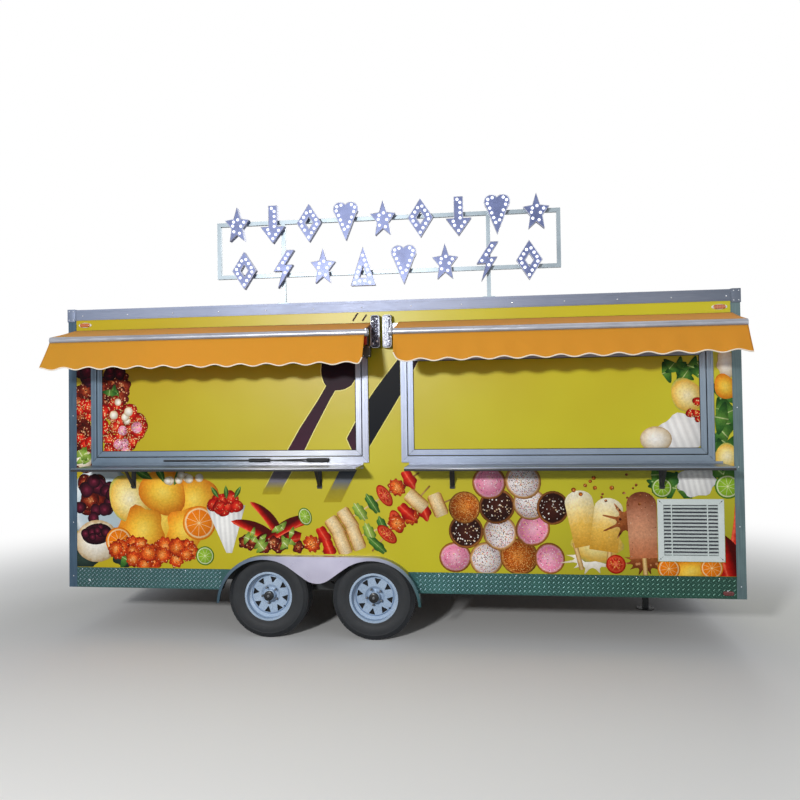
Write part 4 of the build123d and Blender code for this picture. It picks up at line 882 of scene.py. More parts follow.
# each print: what its tones run along, the tones over that, and where it departs from the usual print
prints = {
    # dark bars: maroon on the hatches, near-black on the wall, fading to the film's yellow under the shelf, where their
    # grey-blue is a painted reflection
    "maroonBar": ("height", {0: "482833", 0.25: "3E2030", 0.55: "331A28", 1: "150A12"}, dict(shade=0.02,
        grain=(40, 0.08), wobble=0.03)),
    "blackBar": ("height", {0: "AE9C22", 0.07: "9C8E30", 0.13: "6A6E74", 0.2: "3A424C", 0.3: "10151E",
        0.45: "060A12", 1: "030509"}, dict(shade=0.02, grain=(40, 0.08), wobble=0.01)),
    "fadingBar": ("height", {0: "AE9C22", 0.16: "9C8E30", 0.36: "78747C", 0.7: "5E5A64", 1: "54505A"},
        dict(shade=0.02, grain=(40, 0.08), wobble=0.01)),
    # thin pale line along the bars' edges
    "paleLine": ("height", {0: "E6E08A", 1: "E6E08A"}, dict(shade=0.0, grain=(40, 0.04))),
    "fadingPaleLine": ("height", {0: "AE9C22", 0.12: "B0A026", 0.3: "D8D060", 1: "E6E08A"}, dict(shade=0.0,
        grain=(40, 0.04))),
    # short strokes of dark maroon
    "maroonStroke": ("height", {0: "3A0A0C", 1: "220506"}, dict(shade=0.0, grain=(20, 0.1))),
    # cut citrus: rind, pith and wet segments
    "orangeSlice": ("radius", {0: "F7C46A", 0.12: "F08A1C", 0.76: "EE7A12", 0.82: "FBE3AE", 0.9: "F2931E",
        1: "DE6A0C"}, dict(shade=0.28, spokes=(10, 0.022, "FCE2A8", 0.8), grain=(9, 0.2), wobble=0.03)),
    "limeSlice": ("radius", {0: "E6EDA8", 0.12: "9CC23A", 0.74: "86B02C", 0.82: "EEF2C4", 0.9: "5C8E22",
        1: "3E7218"}, dict(shade=0.3, spokes=(9, 0.024, "EAF0BE", 0.78), grain=(9, 0.2), wobble=0.03)),
    # cut tomato: pale core, seed pockets, red skin
    "tomatoSlice": ("radius", {0: "F1A184", 0.2: "D9402A", 0.5: "B3200F", 0.78: "E0502F", 0.9: "C2200F",
        1: "9A150B"}, dict(shade=0.35, spokes=(6, 0.05, "E86A4A", 0.74),
        speckle=(12, 0.5, ["F0B75A", "E88A3C"], 0.6), grain=(12, 0.3))),
    # round iced biscuits: brown rim, thick icing, sugar sprinkles
    "pinkIcedBiscuit": ("radius", {0: "F7B9CB", 0.4: "F39DB8", 0.7: "EE86A8", 0.84: "F2A9BD", 0.9: "B9743A",
        1: "7E441D"}, dict(shade=0.42, speckle=(11, 0.55, sprinkles, 0.84), grain=(10, 0.22), wobble=0.07)),
    "chocolateBiscuit": ("radius", {0: "4A241A", 0.45: "3A1912", 0.8: "2C120D", 0.86: "5A3020", 0.92: "A5672F",
        1: "6A3A18"}, dict(shade=0.5, speckle=(16, 0.5, ["F5EFE6", "E9C9A0", "F5EFE6"], 0.8), grain=(12, 0.3),
        wobble=0.07)),
    "whiteIcedBiscuit": ("radius", {0: "F4EFEA", 0.5: "EFE6E4", 0.82: "E6D6D6", 0.88: "D9A76A", 1: "8E5526"},
        dict(shade=0.42, speckle=(9, 0.62, ["6A2A1C", "D8505E", "3A1A14", "E8B040", "F2F2F2"], 0.82),
        grain=(10, 0.16), wobble=0.07)),
    "caramelBiscuit": ("radius", {0: "E08A3A", 0.4: "C9661F", 0.8: "A84A14", 0.88: "C88038", 1: "6E3614"},
        dict(shade=0.5, speckle=(8, 0.75, ["F0C070", "8A3A10", "E89A40"], 0.9), grain=(7, 0.45))),
    # soft fruit: plums and cherries, glossy and dark at the rim
    "plum": ("radius", {0: "8A3048", 0.3: "5A1A2C", 0.75: "330E1C", 1: "190812"}, dict(shade=0.5,
        grain=(14, 0.3))),
    "strawberry": ("radius", {0: "F0603E", 0.4: "DD2A1C", 0.8: "B5140F", 1: "7E0A0A"}, dict(shade=0.5,
        speckle=(12, 0.3, ["F2C070", "F6DDA0"], 0.95), grain=(10, 0.35))),
    # peach and mango halves: pale yellow flesh going to deep orange at the skin
    "mangoHalf": ("radius", {0: "F9D860", 0.35: "F7C542", 0.7: "F0A02A", 0.9: "E88420", 1: "C95E16"},
        dict(shade=0.35, grain=(22, 0.18), wobble=0.16)),
    "melonFlesh": ("radius", {0: "FAEFC6", 0.5: "F8E08C", 0.8: "F3C252", 0.92: "C9C060", 1: "7E9A36"},
        dict(shade=0.35, grain=(18, 0.2), wobble=0.12)),
    # crisp fried crumbs, strong light and dark
    "crispCrumb": ("radius", {0: "FFB063", 0.3: "F07A2C", 0.6: "D6481A", 0.85: "A82A10", 1: "7A1C0A"},
        dict(shade=0.3, speckle=(12, 0.35, ["FFD9A0", "7A1E0A", "F8A050"], 1.2), grain=(11, 0.6), wobble=0.4)),
    "darkKale": ("radius", {0: "34463E", 0.7: "22302C", 1: "121C1A"}, dict(shade=0.2, grain=(20, 0.2))),
    "blueDish": ("radius", {0: "A8BCC4", 0.7: "C4D4DA", 0.88: "E8EEF0", 1: "8FA4B0"}, dict(shade=0.25,
        grain=(30, 0.06))),
    "roastedCrust": ("radius", {0: "D98A52", 0.3: "9A3A20", 0.6: "6A1C14", 1: "35100C"}, dict(shade=0.35,
        speckle=(15, 0.3, ["E8B080", "2A0C08"], 1.2), grain=(13, 0.6), wobble=0.4)),
    # green leaves with a pale midrib
    "greenLeaf": ("width", {0: "CBDC96", 0.05: "5E8E3A", 0.5: "3A6E2C", 1: "1E4A20"}, dict(shade=0.45,
        grain=(12, 0.35), wobble=0.04)),
    "paleLeaf": ("width", {0: "E8EDBE", 0.08: "A8C25A", 0.6: "7FA23C", 1: "4E7A2A"}, dict(grain=(12, 0.35),
        wobble=0.06)),
    # long red peppers with a lit ridge
    "redPepper": ("width", {0: "F4684A", 0.16: "DB2A1A", 0.55: "AE120E", 1: "5E0808"}, dict(grain=(30, 0.3),
        wobble=0.12)),
    # toasted bread and wooden sticks
    "toast": ("width", {0: "F3DDB0", 0.6: "EBC88C", 0.86: "D0964E", 1: "8A5220"}, dict(shade=0.25, grain=(10, 0.3),
        wobble=0.12)),
    "woodStick": ("width", {0: "E8C98C", 0.7: "CFA05E", 1: "94692F"}, dict(shade=0.2, grain=(18, 0.2))),
    # white paper with ribs, and cream
    "ribbedPaper": ("width", {0: "FBFAF6", 0.12: "E2E1DE", 0.25: "F8F7F3", 0.37: "DAD9D7", 0.5: "F4F3F0",
        0.62: "D2D1D0", 0.75: "ECEBE8", 0.88: "C4C3C2", 1: "B4B2B0"}, dict(shade=0.2, grain=(30, 0.06),
        wobble=0.0)),
    "cream": ("radius", {0: "FFFDF6", 0.5: "F7EEDC", 0.85: "E9D6B4", 1: "CFAE80"}, dict(shade=0.35,
        grain=(26, 0.14), wobble=0.25)),
    # chocolate and coffee splashes
    "cocoa": ("height", {0: "5E2A16", 0.45: "8E4A24", 0.8: "B06A3A", 1: "D49A66"},
        dict(speckle=(26, 0.3, ["4A1E10", "C98A58"], 1.2), grain=(20, 0.35), wobble=0.25)),
    "pinkLolly": ("height", {0: "E88A5A", 0.35: "E2A07A", 0.6: "C98A6A", 0.85: "9A5A3E", 1: "6A3420"},
        dict(shade=0.35, speckle=(18, 0.3, ["4A1E10", "F0D0B0"], 1.2))),
    "lemonLolly": ("height", {0: "F2B23A", 0.4: "F6C65A", 0.7: "F8E2A0", 1: "FBF4DC"}, dict(shade=0.3,
        speckle=(16, 0.2, ["E88A1C", "FFF6D8"], 1.2), grain=(16, 0.2), wobble=0.15)),
}
for key, (across, stops, details) in prints.items():
    finishes[key] = printMaterial("printed" + key[0].upper() + key[1:], across, stops, **details)


def roundForm(steps=26, wave=0.0, lobes=5, seed=0.0):
    points = []
    for i in range(steps):
        turn = 2 * math.pi * i / steps
        r = 1 - wave * (0.5 + 0.5 * math.sin(lobes * turn + seed))
        r -= wave * 0.5 * (0.5 + 0.5 * math.sin(2 * turn + 3 * seed))
        points.append((r * math.cos(turn), r * math.sin(turn)))
    return points


def taperForm(steps=14, tip=0.0, fullness=1.0, bend=0.0):
    side = []
    for i in range(steps + 1):
        share = i / steps
        wide = math.sin(math.pi * min(1, share * (1 - tip) + tip)) ** fullness
        side.append((wide, 2 * share - 1))
    points = side + [(-u, v) for u, v in reversed(side[1:-1])]
    return [(u + bend * (1 - v * v), v) for u, v in points]


def spikyForm(arms, inner, seed):
    luck = random.Random(seed)
    points = []
    for i in range(arms):
        reach = luck.uniform(0.7, 1.0)
        for share, r in ((0.0, inner), (0.3, inner * 1.15), (0.45, reach * 0.92), (0.5, reach),
                         (0.55, reach * 0.92), (0.7, inner * 1.15)):
            turn = 2 * math.pi * (i + share) / arms
            points.append((r * math.cos(turn), r * math.sin(turn)))
    return points


forms = {  # outlines of the motifs, each two units wide and high
    "disc": roundForm(), "lump": roundForm(26, 0.22, 5, 0.7), "crumb": roundForm(34, 0.2, 9, 1.9),
    "plump": roundForm(26, 0.12, 3, 0.2), "cloud": roundForm(34, 0.16, 7, 0.4),
    "leaf": taperForm(12, 0.0, 1.1), "pepper": taperForm(14, 0.18, 0.55, 0.9),
    "bar": [(-1, -1), (1, -1), (1, 1), (-1, 1)], "cone": [(-0.12, -1), (0.12, -1), (1, 1), (-1, 1)],
    "tile": [(-1, -0.8), (-0.8, -1), (0.8, -1), (1, -0.8), (1, 0.8), (0.8, 1), (-0.8, 1), (-1, 0.8)],
    "lolly": [(-1, -1), (1, -1)] + [(math.cos(math.pi * i / 10), 0.6 + 0.4 * math.sin(math.pi * i / 10))
                                    for i in range(11)],
    "splash": spikyForm(9, 0.34, 3), "splashWide": spikyForm(12, 0.5, 8),
}


def clipOutline(points, axis, limit, keepAbove):
    kept = []
    for i, point in enumerate(points):
        before = points[i - 1]
        nowIn = (point[axis] >= limit) == keepAbove
        wasIn = (before[axis] >= limit) == keepAbove
        if nowIn != wasIn:
            share = (limit - before[axis]) / (point[axis] - before[axis])
            kept.append(tuple(a + (b - a) * share for a, b in zip(before, point)))
        if nowIn:
            kept.append(point)
    return kept


film = {"rise": 0.0004, "layer": 0.00001, "sunk": 0.0002}  # each motif lies a hundredth of a millimetre higher


class PrintPanel:  # one flat surface that carries film, with the rectangles left free by its trim
    def __init__(self, name, body, origin, right, outward, rectangles):
        self.name, self.body, self.rectangles = name, body, rectangles
        self.origin, self.right, self.outward = Vector(origin), Vector(right), Vector(outward)
        self.shape = bmesh.new()
        self.own = self.shape.loops.layers.uv.new("print")
        self.used, self.count = [], 0

    def lay(self, form, finish, x, z, width, height, turn=0):
        if finish not in self.used:
            self.used.append(finish)
        self.count += 1
        c, s = math.cos(math.radians(turn)), math.sin(math.radians(turn))
        outline = []
        for u, v in (forms[form] if isinstance(form, str) else form):
            a, b = u * width / 2, v * height / 2
            outline.append((x + a * c - b * s, z + a * s + b * c, u, v))
        for x0, x1, z0, z1 in self.rectangles:
            part = outline
            for axis, limit, above in ((0, x0, True), (0, x1, False), (1, z0, True), (1, z1, False)):
                part = clipOutline(part, axis, limit, above) if part else part
            if len(part) > 2:
                self.press(part, film["rise"] + film["layer"] * self.count, self.used.index(finish))

    def press(self, part, rise, material):
        places = [self.origin + self.right * p[0] + Vector((0, 0, p[1])) for p in part]
        back, front = [[self.shape.verts.new(place + self.outward * depth) for place in places]
                       for depth in (-film["sunk"], rise)]
        uvs = [(p[2], p[3]) for p in part]
        faces = [(front, uvs), (back[::-1], uvs[::-1])]
        for i in range(len(part)):
            j = (i + 1) % len(part)
            faces.append(([back[i], back[j], front[j], front[i]], [uvs[i], uvs[j], uvs[j], uvs[i]]))
        for verts, corners in faces:
            face = self.shape.faces.new(verts)
            face.material_index = material
            for loop, corner in zip(face.loops, corners):
                loop[self.own].uv = corner

    def close(self):
        bmesh.ops.remove_doubles(self.shape, verts=self.shape.verts, dist=1e-6)
        bmesh.ops.recalc_face_normals(self.shape, faces=self.shape.faces)
        finishPiece(self.name, self.shape, self.body, self.used, 30)


# flat parts of the walls between their trim: left, right, low and high, as x and z
sideX, sideZ = (-2.682, 2.741), (0.578, 2.698)
servingParts = [
    (sideX[0], -1.412, sideZ[0], 1.416), (-1.412, 0.314, 0.712, 1.416), (0.314, 2.158, sideZ[0], 1.416),
    (2.158, 2.664, sideZ[0], 0.684), (2.158, 2.664, 1.177, 1.416), (2.664, sideX[1], sideZ[0], 1.416),
    (sideX[0], -2.544, 1.416, sideZ[1]), (-0.112, 0.151, 1.416, sideZ[1]), (2.603, sideX[1], 1.416, sideZ[1]),
    (-2.544, -0.112, 2.399, sideZ[1]), (0.151, 2.603, 2.399, sideZ[1]),
]


def hatchPanel(end):
    low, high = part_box(f"hatch_panel_{end}")
    parts = [(low.x + 0.001, high.x - 0.001, low.z + 0.001, high.z - 0.001)]
    return PrintPanel(f"print{end.capitalize()}Hatch", f"{end}_hatch", (0, low.y, 0), (1, 0, 0), (0, -1, 0), parts)


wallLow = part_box("wall_serving")[0]
wallPrint = PrintPanel("printServing", "trailer", (0, wallLow.y, 0), (1, 0, 0), (0, -1, 0), servingParts)
rearHatchPrint, frontHatchPrint = hatchPanel("rear"), hatchPanel("front")
servingPanels = [wallPrint, rearHatchPrint, frontHatchPrint]


def layServing(*motifs):  # form, finish, x, z, width, height and turn of each
    for motif in motifs:
        for panel in servingPanels:
            panel.lay(*motif)


def barAcross(panel, outline, fill="maroonBar"):
    # a leaning bar, outlined by a thin pale line
    low, high = min(z for x, z in outline), max(z for x, z in outline)
    middle, half = (low + high) / 2, (high - low) / 2
    centre = sum(x for x, z in outline) / len(outline)
    area = sum(outline[i - 1][0] * z - x * outline[i - 1][1] for i, (x, z) in enumerate(outline))
    out = math.copysign(0.008, area)
    grown = []
    for i, (x, z) in enumerate(outline):
        before, after = outline[i - 1], outline[(i + 1) % len(outline)]
        run = Vector((after[0] - before[0], after[1] - before[1])).normalized()
        grown.append((x + run.y * out, z - run.x * out))
    edge = "paleLine" if fill == "maroonBar" else "fadingPaleLine"
    for points, finish in ((grown, edge), (outline, fill)):
        panel.lay([(x - centre, (z - middle) / half) for x, z in points], finish, centre, middle, 2, 2 * half)


barAcross(rearHatchPrint, [(-0.466, 2.10), (-0.535, 1.985), (-0.691, 1.755), (-0.865, 1.457), (-0.745, 1.423),
                           (-0.654, 1.576), (-0.572, 1.737), (-0.433, 1.992), (-0.39, 2.061), (-0.348, 2.063),
                           (-0.306, 2.072), (-0.255, 2.1), (-0.221, 2.153), (-0.212, 2.300), (-0.500, 2.300),
                           (-0.507, 2.233), (-0.503, 2.183), (-0.487, 2.133)])
barAcross(rearHatchPrint, [(-0.183, 1.86), (-0.221, 1.803), (-0.298, 1.664), (-0.258, 1.574), (-0.245, 1.545),
                           (-0.187, 1.544)])
barAcross(wallPrint, [(-0.878, 1.489), (-0.926, 1.393), (-1.01, 1.239), (-1.025, 1.210), (-0.880, 1.210),
                      (-0.863, 1.239), (-0.771, 1.393), (-0.715, 1.488)], "fadingBar")
barAcross(wallPrint, [(0.204, 2.4), (0.111, 2.279), (0.027, 2.174), (-0.049, 2.077), (-0.113, 1.987),
                      (-0.368, 1.392), (-0.471, 1.190), (-0.500, 1.145), (-0.360, 1.145), (-0.225, 1.392),
                      (-0.114, 1.592), (0.149, 2.016), (0.255, 2.207), (0.351, 2.4)], "blackBar")
barAcross(frontHatchPrint, [(0.187, 2.31), (0.187, 2.090), (0.256, 2.206), (0.312, 2.31)])
layServing(("bar", "maroonStroke", -0.2155, 2.6685, 0.014, 0.084, -34),
           ("bar", "maroonStroke", -0.1395, 2.658, 0.014, 0.064, -34))

fruitLuck = random.Random(11)


def scatter(form, finish, count, x, z, width, height, size, squash=1.0, turns=(0, 360)):
    # a heap of like motifs in an ellipse, each a little different
    for i in range(count):
        turn, reach = fruitLuck.uniform(0, 2 * math.pi), math.sqrt(fruitLuck.random())
        scale = size * fruitLuck.uniform(0.82, 1.15)
        layServing((form, finish, x + reach * width / 2 * math.cos(turn), z + reach * height / 2 * math.sin(turn),
                    scale, scale * squash, fruitLuck.uniform(*turns)))


# far left: plums heaped over a pale dish, dark cake above
layServing(("disc", "blueDish", -2.44, 1.10, 0.62, 0.70, 8), ("cloud", "darkKale", -2.62, 0.66, 0.30, 0.26, 0),
           ("cloud", "darkKale", -2.24, 0.70, 0.30, 0.28, 25), ("cloud", "darkKale", -2.30, 0.84, 0.22, 0.16, -20))
scatter("leaf", "greenLeaf", 9, -2.18, 0.74, 0.20, 0.28, 0.22, 0.42, (20, 160))
scatter("plump", "roastedCrust", 9, -2.58, 1.22, 0.22, 0.34, 0.19)
scatter("plump", "plum", 14, -2.52, 1.16, 0.32, 0.34, 0.13)
layServing(("disc", "cream", -2.50, 0.80, 0.40, 0.36, 8), ("disc", "plum", -2.50, 0.86, 0.28, 0.18, 8))
scatter("disc", "plum", 8, -2.51, 0.88, 0.22, 0.10, 0.085)
# left: mango and melon halves in a stack, orange slices leaning on them
layServing(("cloud", "mangoHalf", -1.94, 1.00, 0.86, 0.78, 12), ("plump", "mangoHalf", -1.62, 1.16, 0.46, 0.44, 50),
           ("plump", "melonFlesh", -2.20, 1.16, 0.40, 0.46, 35), ("plump", "mangoHalf", -1.90, 1.22, 0.48, 0.42, -20),
           ("lump", "mangoHalf", -2.08, 0.90, 0.50, 0.44, 70), ("lump", "mangoHalf", -1.70, 0.90, 0.44, 0.42, 20),
           ("disc", "orangeSlice", -1.58, 0.96, 0.29, 0.29, 15), ("disc", "orangeSlice", -2.30, 0.80, 0.24, 0.24, 40),
           ("leaf", "greenLeaf", -1.93, 1.395, 0.07, 0.22, 25), ("leaf", "greenLeaf", -1.75, 1.37, 0.07, 0.22, -30),
           ("leaf", "greenLeaf", -2.08, 1.375, 0.07, 0.20, 62))
scatter("crumb", "crispCrumb", 24, -1.97, 0.70, 0.82, 0.20, 0.165)
scatter("disc", "cream", 7, -1.72, 1.34, 0.42, 0.08, 0.07)
# paper cone of berries
layServing(("cone", "ribbedPaper", -1.33, 0.90, 0.34, 0.40, 4))
scatter("plump", "strawberry", 17, -1.34, 1.12, 0.28, 0.13, 0.105)
layServing(*[("leaf", "greenLeaf", x, 1.22, 0.04, 0.12, turn) for x, turn in ((-1.44, 35), (-1.24, -28), (-1.34, 4))])
# peppers over the fender, with pale leaves and limes
for motif in ((-1.08, 0.86, 0.11, 0.50, 62), (-0.92, 0.80, 0.12, 0.48, 100), (-1.00, 0.98, 0.09, 0.42, 40),
              (-0.80, 0.90, 0.10, 0.44, 118)):
    layServing(("pepper", "redPepper", *motif))
scatter("lump", "roastedCrust", 9, -0.98, 0.78, 0.56, 0.10, 0.13)
scatter("leaf", "paleLeaf", 12, -0.92, 0.84, 0.56, 0.18, 0.12, 0.42)
layServing(("disc", "limeSlice", -1.53, 0.685, 0.16, 0.16, 30), ("disc", "limeSlice", -0.66, 1.02, 0.11, 0.15, 20))
# skewers of toast, peppers, tomato and leaves: the foot of each, its lean and its length
bites = (("tile", "toast", 0.115, 0.20), ("lump", "redPepper", 0.13, 0.19), ("disc", "tomatoSlice", 0.10, 0.20),
         ("crumb", "paleLeaf", 0.10, 0.20), ("tile", "toast", 0.12, 0.19), ("crumb", "crispCrumb", 0.15, 0.18),
         ("cloud", "greenLeaf", 0.09, 0.20))
for start, turn, reach in (((-0.66, 0.76), 33, 1.14), ((-0.52, 0.73), 22, 1.20), ((-0.10, 0.74), 48, 0.72)):
    run = Vector((math.cos(math.radians(turn)), math.sin(math.radians(turn))))
    middle = Vector(start) + run * reach / 2
    layServing(("bar", "woodStick", middle.x, middle.y, reach, 0.014, turn))
    for i in range(int(reach / 0.125)):
        at = Vector(start) + run * (0.065 + 0.122 * i)
        form, finish, width, height = bites[(i * 3 + turn) % len(bites)]
        layServing((form, finish, at.x, at.y, width, height, turn))
# heap of iced biscuits
icings = {"pink": "pinkIcedBiscuit", "white": "whiteIcedBiscuit",
          "caramel": "caramelBiscuit", "brown": "chocolateBiscuit"}
heap = [
    (0.58, 0.70, 0.26, "pink"), (0.83, 0.69, 0.27, "white"), (1.09, 0.71, 0.29, "caramel"), (1.33, 0.70, 0.25, "pink"),
    (0.67, 0.91, 0.28, "brown"), (0.94, 0.90, 0.27, "white"), (1.20, 0.93, 0.28, "pink"), (0.66, 1.10, 0.26, "caramel"),
    (0.92, 1.11, 0.28, "brown"), (1.18, 1.13, 0.27, "white"), (0.86, 1.30, 0.27, "pink"), (1.13, 1.31, 0.28, "white"),
    (1.36, 1.10, 0.27, "brown"),
]
for i, (x, z, size, icing) in enumerate(heap):
    layServing(("disc", icings[icing], x, z, size, size * (0.94 + 0.05 * (i % 3)), 37 * i))
# ice lollies in splashes, with crumbs about them
layServing(("splashWide", "cream", 1.66, 0.70, 0.54, 0.28, 0), ("cloud", "melonFlesh", 1.70, 0.84, 0.46, 0.38, 0),
           ("bar", "woodStick", 1.552, 0.72, 0.036, 0.22, 14), ("lolly", "lemonLolly", 1.59, 1.02, 0.22, 0.44, 12),
           ("bar", "woodStick", 1.792, 0.73, 0.036, 0.20, -8), ("lolly", "lemonLolly", 1.775, 0.97, 0.22, 0.42, -8),
           ("splash", "cocoa", 1.93, 1.00, 0.46, 0.42, 24),
           ("splashWide", "cocoa", 2.06, 0.69, 0.42, 0.26, 0),
           ("bar", "woodStick", 2.06, 0.66, 0.036, 0.20, 3), ("lolly", "pinkLolly", 2.05, 0.97, 0.23, 0.52, 3),
           ("disc", "tomatoSlice", 1.84, 0.66, 0.15, 0.15, 0))
scatter("lump", "cocoa", 16, 1.95, 1.22, 0.62, 0.30, 0.024)
scatter("disc", "caramelBiscuit", 8, 1.66, 1.26, 0.40, 0.16, 0.032)
# leaves and lime over and beside the vent
scatter("leaf", "greenLeaf", 17, 2.40, 1.33, 0.62, 0.22, 0.25, 0.36)
layServing(("disc", "limeSlice", 2.20, 1.26, 0.16, 0.16, 0), ("cloud", "ribbedPaper", 2.46, 1.31, 0.34, 0.26, 12),
           ("disc", "limeSlice", 2.69, 1.27, 0.19, 0.19, 20), ("lump", "mangoHalf", 2.40, 0.61, 0.40, 0.20, 10),
           ("pepper", "redPepper", 2.72, 0.88, 0.27, 0.80, -8), ("pepper", "redPepper", 2.64, 0.70, 0.16, 0.48, 16),
           ("disc", "orangeSlice", 2.24, 0.63, 0.17, 0.17, 10), ("disc", "orangeSlice", 2.56, 0.64, 0.17, 0.17, 50))
scatter("leaf", "greenLeaf", 12, 2.68, 1.74, 0.10, 0.50, 0.24, 0.40, (30, 160))
layServing(("plump", "melonFlesh", 2.69, 1.50, 0.20, 0.22, 0))
# front hatch, right end: leaves above, pale melon and blossom below
scatter("leaf", "greenLeaf", 10, 2.36, 2.18, 0.34, 0.14, 0.17, 0.42)
layServing(("plump", "melonFlesh", 2.40, 1.98, 0.26, 0.30, 30), ("cloud", "ribbedPaper", 2.36, 1.69, 0.44, 0.32, 20),
           ("disc", "cream", 2.16, 1.64, 0.24, 0.20, 0), ("cloud", "cream", 2.70, 2.22, 0.16, 0.24, 0),
           ("plump", "mangoHalf", 2.69, 2.04, 0.18, 0.22, 20))
scatter("plump", "strawberry", 5, 2.46, 1.86, 0.10, 0.20, 0.07)
# rear hatch, left end: strawberries and cherries in a heap, dark cake over them
scatter("lump", "roastedCrust", 9, -2.36, 2.14, 0.26, 0.26, 0.20)
scatter("plump", "plum", 5, -2.34, 2.22, 0.20, 0.10, 0.11)
scatter("leaf", "greenLeaf", 4, -2.34, 2.04, 0.22, 0.10, 0.13, 0.4)
scatter("plump", "strawberry", 38, -2.30, 1.76, 0.42, 0.46, 0.135)
scatter("plump", "pinkIcedBiscuit", 5, -2.20, 1.68, 0.24, 0.26, 0.11)
scatter("disc", "cream", 5, -2.26, 1.90, 0.30, 0.20, 0.07)
scatter("plump", "roastedCrust", 12, -2.61, 1.84, 0.12, 0.78, 0.19)
scatter("plump", "strawberry", 8, -2.60, 1.80, 0.12, 0.60, 0.12)
layServing(("cloud", "cream", -2.62, 1.50, 0.20, 0.16, 20))
scatter("plump", "plum", 9, -2.60, 2.26, 0.14, 0.26, 0.15)
scatter("leaf", "paleLeaf", 5, -2.62, 1.53, 0.10, 0.08, 0.12, 0.5)

# the same style on the far, rear and front walls; right is as one sees each from outside
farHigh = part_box("wall_far")[1]
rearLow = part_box("wall_rear")[0]
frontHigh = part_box("wall_front")[1]
doorLow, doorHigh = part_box("door_frame")
endY, doorGap = (-0.94, 1.36), 0.004
doorY = (doorLow.y - doorGap, doorHigh.y + doorGap)
farParts = [(-sideX[1], -0.318, *sideZ), (-0.318, 1.408, 0.712, sideZ[1]), (1.408, -sideX[0], *sideZ)]
rearParts = [(-endY[1], -doorY[1], *sideZ), (-doorY[0], -endY[0], *sideZ),
             (-doorY[1], -doorY[0], doorHigh.z + doorGap, sideZ[1])]
farPrint = PrintPanel("printFar", "trailer", (0, farHigh.y, 0), (-1, 0, 0), (0, 1, 0), farParts)
rearPrint = PrintPanel("printRearWall", "trailer", (rearLow.x, 0, 0), (0, -1, 0), (-1, 0, 0), rearParts)
frontPrint = PrintPanel("printFrontWall", "trailer", (frontHigh.x, 0, 0), (0, 1, 0), (1, 0, 0), [(*endY, *sideZ)])
# a bunch of fruit, each motif placed from the bunch's middle
bunch = [("cloud", "mangoHalf", 0, 0.08, 0.52, 0.46, 10), ("disc", "orangeSlice", 0.26, 0.02, 0.24, 0.24, 30),
         ("disc", "limeSlice", -0.24, -0.04, 0.18, 0.18, 0), ("plump", "strawberry", 0.06, -0.06, 0.15, 0.15, 20),
         ("leaf", "greenLeaf", 0.05, 0.36, 0.08, 0.24, -24), ("leaf", "greenLeaf", -0.10, 0.34, 0.08, 0.24, 30)]
for panel, x, z in ((farPrint, -1.6, 0.75), (farPrint, 1.9, 0.8), (rearPrint, -1.1, 0.78), (rearPrint, 0.78, 0.9),
                    (frontPrint, -0.5, 0.9), (frontPrint, 0.9, 0.8)):
    for form, finish, dx, dz, *size in bunch:
        panel.lay(form, finish, x + dx, z + dz, *size)
for panel, x, z, wide in ((farPrint, -0.62, 1.2, 0.15), (farPrint, -0.22, 1.2, 0.17), (frontPrint, -0.10, 1.0, 0.16)):
    barAcross(panel, [(x, z), (x + wide, z), (x + 0.82 + wide, 2.69), (x + 0.80, 2.69)], "blackBar")
for panel in (*servingPanels, farPrint, rearPrint, frontPrint):
    panel.close()
print("printed film laid")

# rivets on rails and posts, bolts along the skirts

fixing = {
    "rivetRadius": 0.0062, "rivetHeight": 0.0032, "railPitch": 0.41, "railRise": 0.040, "sunk": 0.002,
    "postPitch": 0.46, "postRivets": 5, "postInset": 0.040, "postShare": 0.8, "sideFoot": 0.50, "endFoot": 0.56,
    "boltPitch": 0.31, "edgeBolt": (0.005, 0.0024), "bigBolt": (0.0085, 0.0032),
}
railLow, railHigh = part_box("roof_rails")
postLow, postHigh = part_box("corner_posts")
rivets = bmesh.new()
rivet = (fixing["rivetRadius"], fixing["rivetHeight"])
rivetZ = railLow.z + fixing["railRise"]
for y, outward in ((railLow.y + fixing["sunk"], -1), (railHigh.y - fixing["sunk"], 1)):
    addStudRow(rivets, (railLow.x + 0.14, y, rivetZ), (fixing["railPitch"], 0, 0), 14, (0, outward, 0), *rivet)
addStudRow(rivets, (railLow.x + fixing["sunk"], railLow.y + 0.2, rivetZ), (0, fixing["railPitch"], 0), 6,
           (-1, 0, 0), *rivet)
postRivet = [size * fixing["postShare"] for size in rivet]
postStep = (0, 0, fixing["postPitch"])
for x in (postLow.x + fixing["postInset"], postHigh.x - fixing["postInset"]):
    for y, outward in ((postLow.y, -1), (postHigh.y, 1)):
        addStudRow(rivets, (x, y, fixing["sideFoot"]), postStep, fixing["postRivets"], (0, outward, 0), *postRivet)
for y in (postLow.y + fixing["postInset"], postHigh.y - fixing["postInset"]):
    for x, outward in ((postLow.x, -1), (postHigh.x, 1)):
        addStudRow(rivets, (x, y, fixing["endFoot"]), postStep, fixing["postRivets"], (outward, 0, 0), *postRivet)
bigBoltX = [postLow.x + 0.185, postHigh.x - 0.140]
edgeBoltX = [postLow.x + 0.12 + fixing["boltPitch"] * i for i in range(4)]
edgeBoltX += [postHigh.x - 0.20 - fixing["boltPitch"] * i for i in range(8)]
for places, z, size in ((bigBoltX, skirtLow.z + 0.058, "bigBolt"), (edgeBoltX, skirtHigh.z - 0.016, "edgeBolt")):
    for x in places:
        for y, outward in ((skirtLow.y, -1), (skirtHigh.y, 1)):
            addStud(rivets, (x, y, z), (0, outward, 0), *fixing[size])
finishPiece("wallRivets", rivets, "trailer", ["zincPlate"], 50)

# ribs and mitres of the extruded window and hatch frames

